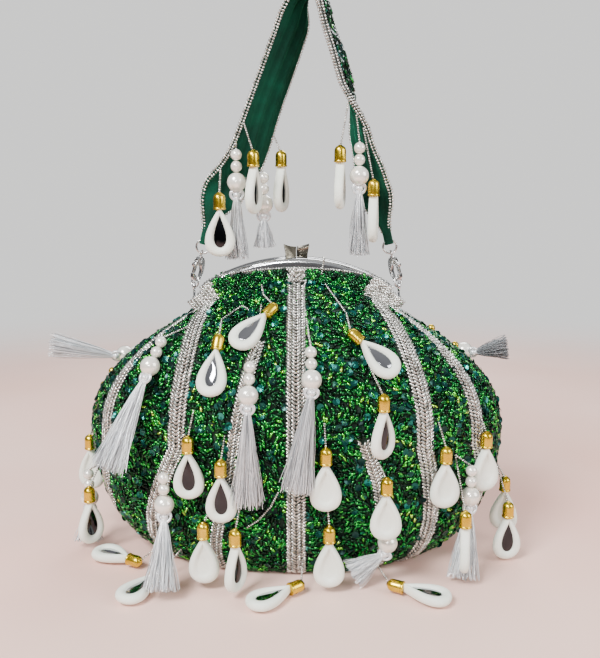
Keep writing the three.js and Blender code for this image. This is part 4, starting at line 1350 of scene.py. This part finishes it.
def strapBeads():
    ends = strapRows["ends"]
    at = strapFrame(np.arange(ends, strapLength - ends, beadSizes["seedPitch"]) / strapLength)
    rows = [(side, *strapRows[row]) for side in (-1, 1) for row in ("edge", "outer")]
    rows.insert(2, (-1, *strapRows["near"]))  # the near edge has a second row on the lining side
    centres = []
    for side, inset, lift in rows:
        aside = side * np.maximum(at.width / 2 - inset, strapRows["narrowest"])
        centres.append(at.point + at.across * aside[:, None] + at.normal * lift)
    centres = np.concatenate(centres)
    turns = np.tile(turnsFrom(at.run, at.normal), (len(rows), 1, 1))
    edges = scattered("strapEdgeBeads", seedMesh, turns, centres, silverTones(len(centres)))
    made = [fit(edges, "strap")]
    for name, mesh, count in (
            ("strapBugles", bugleMesh, strapRows["bugles"]),
            ("strapSequins", sequinMesh, strapRows["sequins"])):
        at = strapFrame(dice.uniform(*strapRows["fieldEnds"], count))
        half = strapRows["fieldHalf"]
        aside = dice.uniform(-half, half, count) * (at.width - 2 * strapRows["outer"][0])
        along = leaning(at.run, at.across, dice.normal(0, strapRows["looseTurn"], count))
        lift = at.thickness / 2 + dice.uniform(*strapRows["lift"], count)
        centre = at.point + at.across * aside[:, None] - at.normal * lift[:, None]
        tones = dice.beta(*strapRows["tones"], count)
        piece = scattered(name, mesh, turnsFrom(along, -at.normal), centre, tones)
        made.append(fit(piece, "strap"))
    return made


band = makeStrap()
strapBeads()
print("stage: strap", round(strapLength, 4))


# drops and tassels: each part modelled once
dropForm = {
    "halfWidth": 11.21 * mm,
    "halfLength": 13.5 * mm,
    "middle": 20.7 * mm,
    "points": 32,
    "taper": 1.3,
    # width share, length share and depth of each ring, from the back to the mirror's seat
    "rings": [
        (0.36, 0.56, 1.1), (0.44, 0.62, 1.4), (0.52, 0.68, 2.1), (0.64, 0.76, 2.4), (0.80, 0.86, 2.35),
        (0.92, 0.94, 1.8), (0.99, 0.99, 0.7), (1.0, 1.0, -0.2), (0.97, 0.98, -1.3), (0.90, 0.93, -2.1),
        (0.78, 0.86, -2.5), (0.62, 0.77, -2.5), (0.50, 0.69, -2.1), (0.44, 0.65, -1.2),
    ],
    "mirror": [(0.43, 0.645, -0.9), (0.41, 0.63, -1.4), (0.37, 0.60, -1.55)],
}


def dropLayers(rings, finish):
    # one filled teardrop outline, pulled and scaled ring by ring
    count = dropForm["points"]
    piece = added(bpy.ops.mesh.primitive_circle_add, vertices=count, radius=1, fill_type="NGON")
    wide, long, depth = rings[0]
    turn = 2 * np.pi * np.arange(count) / count
    across = dropForm["halfWidth"] * np.sin(turn) * np.sin(turn / 2) ** dropForm["taper"] * wide
    height = dropForm["halfLength"] * np.cos(turn) * long
    points = np.stack([across, np.full(count, depth * mm), height], -1)
    piece.data.vertices.foreach_set("co", points.ravel())
    editAll(piece)
    for ring in rings[1:]:
        pull = (0, (ring[2] - depth) * mm, 0)
        bpy.ops.mesh.extrude_region_move(TRANSFORM_OT_translate={"value": pull})
        bpy.ops.transform.resize(value=(ring[0] / wide, 1, ring[1] / long), center_override=(0, 0, 0))
        wide, long, depth = ring
    editDone()
    tidyFaces(piece)
    piece.data.transform(shift(0, 0, -dropForm["middle"]))
    return keepMesh(smooth(piece, degrees=50), finish)


# (radius, height) in millimetres
capProfile = [
    (0, -9.0), (2.9, -9.0), (3.35, -8.8), (3.45, -8.4), (3.35, -8.0), (3.15, -7.8), (3.2, -7.5),
    (3.2, -3.2), (3.1, -2.3), (2.75, -1.4), (2.1, -0.7), (1.3, -0.3), (0.9, 0.2), (0, 0.25),
]
knotProfile = [
    (0, 0.4), (1.0, 0.2), (1.9, -0.5), (2.2, -1.4), (2.0, -2.3), (1.6, -2.8), (1.75, -3.1),
    (1.55, -3.4), (1.75, -3.7), (1.5, -4.0), (1.7, -4.3), (1.3, -4.8), (0, -5.0),
]
knotLoops = {
    "radius": 1.7 * mm, "wire": 0.75 * mm, "aside": 1.5 * mm, "height": -1.8 * mm, "stretch": 1.35,
    "lean": 28.65, "tone": 0.7,
}


def pearlBall():
    ball = added(bpy.ops.mesh.primitive_uv_sphere_add, segments=24, ring_count=14, radius=1)
    return keepMesh(smooth(ball, degrees=80), "pearl")


def goldCap():
    return keepMesh(smooth(spunPiece(capProfile, steps=24), degrees=45), "cap")


def silkKnot():
    # a wound neck with two loops of silk above it
    pieces = [spunPiece(knotProfile, steps=20)]
    for hand in (-1, 1):
        place = shift(hand * knotLoops["aside"], 0, knotLoops["height"])
        place = place @ turned(hand * knotLoops["lean"], "Y") @ turned(90, "X")
        place = place @ Matrix.Diagonal((1, knotLoops["stretch"], 1, 1))
        pieces.append(toroid(knotLoops["radius"], knotLoops["wire"], place, major=20, minor=8))
    knot = joined("knot", pieces)
    addTones(knot.data, knotLoops["tone"])
    return keepMesh(smooth(knot, degrees=60), "silk")


pendantMeshes = {
    "wrap": dropLayers(dropForm["rings"], "wrap"),
    "mirror": dropLayers(dropForm["mirror"], "mirror"),
    "cap": goldCap(),
    "knot": silkKnot(),
    "pearl": pearlBall(),
}
# smaller beads than on the edges; past headOn a run goes nearly straight to the front or back
hangingStrand = {"size": 0.8, "start": 0.3 * mm, "step": 0.2 * mm, "headOn": 0.9}


def seedStrand(points, name="strand"):
    line = np.array([list(point) for point in points])
    lengths = lengthsAlong(line)
    at = np.arange(hangingStrand["start"], lengths[-1], beadSizes["seedPitch"] * hangingStrand["size"])
    step = hangingStrand["step"]
    centres, ahead, behind = (pointsAlong(at + ahead, lengths, line) for ahead in (0, step, -step))
    run = unit(ahead - behind)
    headOn = np.abs(run[:, 1:2]) > hangingStrand["headOn"]
    other = np.where(headOn, [[1.0, 0, 0]], [[0, 1.0, 0]])
    turns = turnsFrom(run, other) * hangingStrand["size"]
    return scattered(name, seedMesh, turns, centres, silverTones(len(at)), bake=False)


silk = {
    "threads": 240, "wire": 0.15 * mm, "points": 6,
    "start": -3.6 * mm, "tuck": 0.4 * mm, "lowest": 0.4 * mm,
    "waist": 1.6 * mm, "flare": 0.8, "wave": 0.9 * mm, "waveDepth": 0.5,
    "spread": (0.85, 1.2), "waves": (3, 7), "waveStart": (0, 6), "fall": (0.93, 1.03),
    "tones": (1.0, 0.8),
}


def silkBunch(place, length, endRadius, fan, shade):
    # fine threads from the knot, each a thin tube
    curve = bpy.data.curves.new("silk", "CURVE")
    curve.dimensions = "3D"
    curve.bevel_depth = silk["wire"]
    curve.bevel_resolution = 0
    curve.use_fill_caps = True
    share = np.linspace(0, 1, silk["points"])
    for thread in range(silk["threads"]):
        turn = dice.uniform(0, 2 * np.pi)
        rank = math.sqrt(dice.uniform(0, 1))
        spread = endRadius * rank * dice.uniform(*silk["spread"])
        waist = silk["waist"] * rank
        radius = waist + (spread - waist) * share ** silk["flare"]
        waves, start = dice.uniform(*silk["waves"]), dice.uniform(*silk["waveStart"])
        sway = silk["wave"] * np.sin(share * waves + start) * share
        fall = length * dice.uniform(*silk["fall"]) + silk["tuck"]
        local = np.stack([
            radius * math.cos(turn) * (1 + (fan - 1) * share) + sway,
            radius * math.sin(turn) * (1 + (1 / fan - 1) * share) + sway * silk["waveDepth"],
            silk["start"] - fall * share,
        ], -1)
        world = np.array([list(place @ Vector(point)) for point in local])
        world[:, 2] = np.maximum(world[:, 2], silk["lowest"])
        spline = curve.splines.new("POLY")
        spline.points.add(silk["points"] - 1)
        spline.points.foreach_set("co", np.column_stack([world, np.ones(silk["points"])]).ravel())
    activate(newPiece("silk", curve))
    bpy.ops.object.convert(target="MESH")
    bunch = bpy.context.object
    count = len(bunch.data.vertices) // silk["threads"]
    tones = shade * dice.beta(*silk["tones"], silk["threads"])
    addTones(bunch.data, np.repeat(tones, count))
    return wear(bunch, "silk")


# painted reflection: a mirror that hangs upright gets a dark tone, one tilted up a pale tone
mirrorPaintedReflection = {"tilted": 1.0, "upright": 0.02, "limit": 0.1}  # an upright mirror looks into the dark


def dropParts(place):
    wrap, mirror, cap = (placed(pendantMeshes[name], place) for name in ("wrap", "mirror", "cap"))
    # the mirror's tone is painted reflection, chosen by which way it faces
    tilt = "tilted" if -place.col[1].z > mirrorPaintedReflection["limit"] else "upright"
    addTones(mirror.data, mirrorPaintedReflection[tilt])
    return [wrap, mirror, cap]


tasselForm = {
    "pearls": [(3.1 * mm, -3.1 * mm), (3.1 * mm, -9.3 * mm), (5.3 * mm, -17.7 * mm)],  # radius, height
    "knot": -23 * mm,
}


def tasselParts(place, side=0, front=0, length=48, endRadius=6.6, fan=1.2, shade=1.0):
    made = []
    for radius, height in tasselForm["pearls"]:
        spot = place @ shift(0, 0, height)
        made.append(placed(pendantMeshes["pearl"], spot @ Matrix.Scale(radius, 4)))
    hang = place @ shift(0, 0, tasselForm["knot"]) @ turned(-front, "X") @ turned(side, "Y")
    made.append(placed(pendantMeshes["knot"], hang))
    made.append(silkBunch(hang, length * mm, endRadius * mm, fan, shade))
    return made


# where pendants hang: angles in degrees, lengths in millimetres
sewn = {"lift": 1.5 * mm, "tableHeight": 4.4 * mm, "tableTilt": 0.03}
upright = Vector((0, 0, 1))


def surfaceAt(angle, level):
    turn = math.radians(angle)
    return Vector(bagPoint(turn, level)), Vector(bagNormal(turn, level))


def sewnAt(angle, level, lift=sewn["lift"]):
    point, normal = surfaceAt(angle, level)
    return point + normal * lift


def heading(degrees):
    # level, and to the front at 0
    way = math.radians(degrees)
    return Vector((math.sin(way), -math.cos(way), 0))


def basis(origin, up, face):
    # Z goes up, and -Y looks the way of the face
    up = up.normalized()
    back = -(face - up * face.dot(up)).normalized()
    return shift(*origin) @ Matrix((back.cross(up), back, up)).transposed().to_4x4()


def lying(angle, level, above, out, lean=0, anchorLevel=0.5, anchorAngle=None):
    point, normal = surfaceAt(angle, level)
    up = (upright - normal * upright.dot(normal)).normalized()
    up = Matrix.Rotation(math.radians(lean), 3, normal) @ up
    top = point + normal * (out * mm) + up * (above * mm)
    anchor = sewnAt(angle if anchorAngle is None else anchorAngle, anchorLevel)
    return anchor, basis(top, up, normal)


def plumb(angle, level, strand, turn=0, out=7, aside=0):
    top = sewnAt(angle, level, 0) + heading(angle) * (out * mm) + heading(angle + 90) * (aside * mm)
    top.z -= strand * mm
    return sewnAt(angle, level), basis(top, upright, heading(turn))


def onTable(angle, level, out, way):
    top = sewnAt(angle, level, 0) + heading(angle) * (out * mm)
    top.z = sewn["tableHeight"]
    up = -heading(way + 90)
    up.z = sewn["tableTilt"]
    return sewnAt(angle, level), basis(top, up, upright)


strapSeat = {"thinnest": 3.2 * mm, "lift": 0.6 * mm, "inset": 2.4 * mm}


def fromStrap(share, edge, strand, turn=0, aside=0, out=0):
    at = strapFrame(share)
    roll = max(float(at.thickness), strapSeat["thinnest"]) / 2 + strapSeat["lift"]
    rim = at.across * edge * (at.width - strapSeat["inset"]) / 2
    anchor = Vector(at.point + rim + at.normal * roll)
    top = anchor + Vector((aside * mm, -out * mm, -strand * mm))
    return anchor, basis(top, upright, heading(turn))


hooks = {"drop": -1.5 * mm, "silk": -0.4 * mm}  # where a strand ends, below a pendant's top


def pendant(node, items, body="bag", climb=()):
    # each item is a place with the options of a tassel, or with none for a drop
    made = []
    for (anchor, place), options in items:
        kind = "drop" if options is None else "silk"
        end = place @ Vector((0, 0, hooks[kind]))
        route = [sewnAt(*spot) for spot in climb]  # down the cloth, before it hangs free
        made.append(seedStrand(route + [anchor, end]))
        made += dropParts(place) if options is None else tasselParts(place, **options)
    piece = joined(node + "Dressed", made[1:] + made[:1])
    fit(piece, body, node)


dropLie = {"above": 20.7, "out": 4.1}
tasselLie = {"above": 14, "out": 6.1}
sideLie = {"above": 16, "out": 6.1}
bagDrops = {
    "drop_shoulder_left": lying(-15, 0.82, **dropLie, lean=-33, anchorLevel=0.93, anchorAngle=-16),
    "drop_upper_left": lying(-23, 0.71, **dropLie, anchorLevel=0.87, anchorAngle=-30),
    "drop_upper_right": lying(24, 0.75, **dropLie, lean=38, anchorLevel=0.88, anchorAngle=20),
    "drop_belly_right": plumb(21, 0.73, 10, turn=45, out=18),
    "drop_belly_left": plumb(-27, 0.6, 12),
    "drop_belly_inner_left": plumb(-18, 0.52, 11),
    "drop_belly_centre": plumb(7, 0.56, 11, turn=180),
    "drop_belly_inner_right": plumb(21, 0.43, 5, turn=180, out=11),
    "drop_braid_right": plumb(39.5, 0.56, 12, turn=190),
    "drop_side_right": plumb(58, 0.6, 12, turn=200),
    "drop_foot_centre": plumb(8, 0.3, 11, turn=180, out=8),
    "drop_foot_inner_left": plumb(-14, 0.32, 14, turn=60, out=13),
    "drop_foot_left": plumb(-23, 0.27, 5, turn=176, out=10),
    "drop_side_left": plumb(-93, 0.52, 12, turn=170),
    "drop_table_far_left": onTable(-50, 0.08, 14, 150),
    "drop_table_left": onTable(-40, 0.08, 14, 242),
    "drop_table_centre": onTable(2, 0.08, 13, 215),
    "drop_table_right": onTable(24, 0.08, 19, 335),
    "drop_rear_left": plumb(-145, 0.54, 12, turn=-145),
    "drop_rear_right": plumb(145, 0.54, 12, turn=145),
}
bagTassels = {
    "tassel_shoulder_left": (
        lying(-46, 0.75, **tasselLie, anchorLevel=0.87),
        {"side": 4, "front": -6, "endRadius": 7, "fan": 1.5}),
    "tassel_front_left": (lying(-12, 0.66, **tasselLie, anchorLevel=0.78), {"side": 1, "front": -20}),
    "tassel_front_centre": (lying(4, 0.7, **tasselLie, anchorLevel=0.82), {"side": 9, "front": -22}),
    "tassel_foot_left": (plumb(-33, 0.46, 9, out=9), {"front": 28, "length": 34}),
    "tassel_foot_right": (plumb(24, 0.28, 3, out=4.6), {"side": 58, "front": 10, "length": 18}),
    "tassel_side_left": (
        lying(-110, 0.72, **sideLie, lean=85, anchorLevel=0.73, anchorAngle=-128),
        {"length": 36, "front": 50, "side": 14}),
    "tassel_side_right": (
        lying(112, 0.73, **sideLie, lean=-85, anchorLevel=0.74, anchorAngle=130),
        {"length": 18, "front": 45, "side": -14, "shade": 0.1}),
    "tassel_rear_centre": (plumb(180, 0.54, 10), {"length": 36}),
}
# strands that run down the cloth first, by (degrees, level)
climbs = {
    "drop_shoulder_left": [(-22, 0.99), (-20, 0.965)],
    "tassel_front_centre": [(6, 0.985), (3, 0.93)],
    "tassel_front_left": [(-15, 0.9)],
    "drop_upper_right": [(16, 0.96)],
    "drop_upper_left": [(-20, 0.80), (-18, 0.84), (-19, 0.885), (-24, 0.905)],
}
# pendants that share one braid's end
sharedEnds = {
    "pendants_braid_end_left": [
        (plumb(-74, 0.36, 11, turn=50, out=8, aside=6), None),
        (plumb(-74, 0.36, 6, out=8, aside=-9), {"front": 20, "length": 16}),
    ],
    "pendants_braid_end_right": [
        (plumb(46, 0.44, 6, out=8, aside=6), {"side": 8, "front": 22, "length": 34}),
        (plumb(46, 0.44, 26, turn=80, out=14, aside=-8), None),
    ],
    "pendants_side_end_right": [
        (plumb(80, 0.36, 11, turn=160, out=8, aside=4), None),
        (plumb(80, 0.36, 17, turn=10, out=8, aside=-20), None),
    ],
}
strapDrops = {
    "strap_drop_left_upper": fromStrap(0.24, -1, 14, turn=70, aside=5, out=4),
    "strap_drop_left_lower": fromStrap(0.14, -1, 13, turn=10, out=10),
    "strap_drop_left_rear": fromStrap(0.24, 1, 8, turn=70, aside=4),
    "strap_drop_right_upper": fromStrap(0.73, -1, 22, turn=80, aside=-4),
    "strap_drop_right_lower": fromStrap(0.78, -1, 27, turn=80, aside=6),
}
strapSilk = {"endRadius": 5.4, "fan": 1.0}
strapTassels = {
    "strap_tassel_left": (fromStrap(0.2, -1, 3), {"length": 32, **strapSilk}),
    "strap_tassel_left_rear": (fromStrap(0.18, 1, 2, aside=1), {"length": 15, **strapSilk}),
    "strap_tassel_right": (fromStrap(0.755, -1, 14, aside=2), {"length": 33, **strapSilk}),
}


def makePendants():
    for node, spot in bagDrops.items():
        pendant(node, [(spot, None)], climb=climbs.get(node, ()))
    for node, item in bagTassels.items():
        pendant(node, [item], climb=climbs.get(node, ()))
    for node, items in sharedEnds.items():
        pendant(node, items)
    for node, spot in strapDrops.items():
        pendant(node, [(spot, None)], "strap")
    for node, item in strapTassels.items():
        pendant(node, [item], "strap")


# small gold beads sewn on behind the shoulders: (degrees round the bag, level)
shoulderBeads = {
    "radius": 2.3 * mm,
    "lift": 1.6 * mm,
    "spots": [(97, 0.875), (99, 0.80), (-95, 0.70), (-94, 0.645)],
}
# a short strand sewn up over the front of the frame: (radius, depth) in millimetres at one bend
frameStrand = {"bend": math.radians(8.8), "route": [
    (92.5, -10.8), (95.0, -10.6), (98.0, -10.2), (99.9, -9.4), (100.9, -7.6), (101.0, -4.0),
    (101.0, -0.8),
]}
# a strand sewn down beside the foot: (degrees round the bag, level)
footStrand = {
    "lift": 2.6 * mm,
    "route": [(-4.5, 0.335), (-6.5, 0.285), (-10, 0.235), (-13.5, 0.205)],
}


def makeShoulderBeads():
    balls = []
    for spot in shoulderBeads["spots"]:
        place = Matrix.Translation(sewnAt(*spot, shoulderBeads["lift"]))
        balls.append(placed(pendantMeshes["pearl"], place @ Matrix.Scale(shoulderBeads["radius"], 4)))
    piece = wear(joined("shoulderBeads", balls), "cap")
    ridePanel(piece, True)


def makeSewnStrands():
    radius, depth = np.array(frameStrand["route"]).T * mm
    over = arcPoint(frameStrand["bend"], radius, depth)
    fit(seedStrand(over, "frameStrand"), "bag")
    beside = [sewnAt(*spot, footStrand["lift"]) for spot in footStrand["route"]]
    fit(seedStrand(beside, "footStrand"), "bag")


makePendants()
makeShoulderBeads()
makeSewnStrands()
print("stage: pendants")
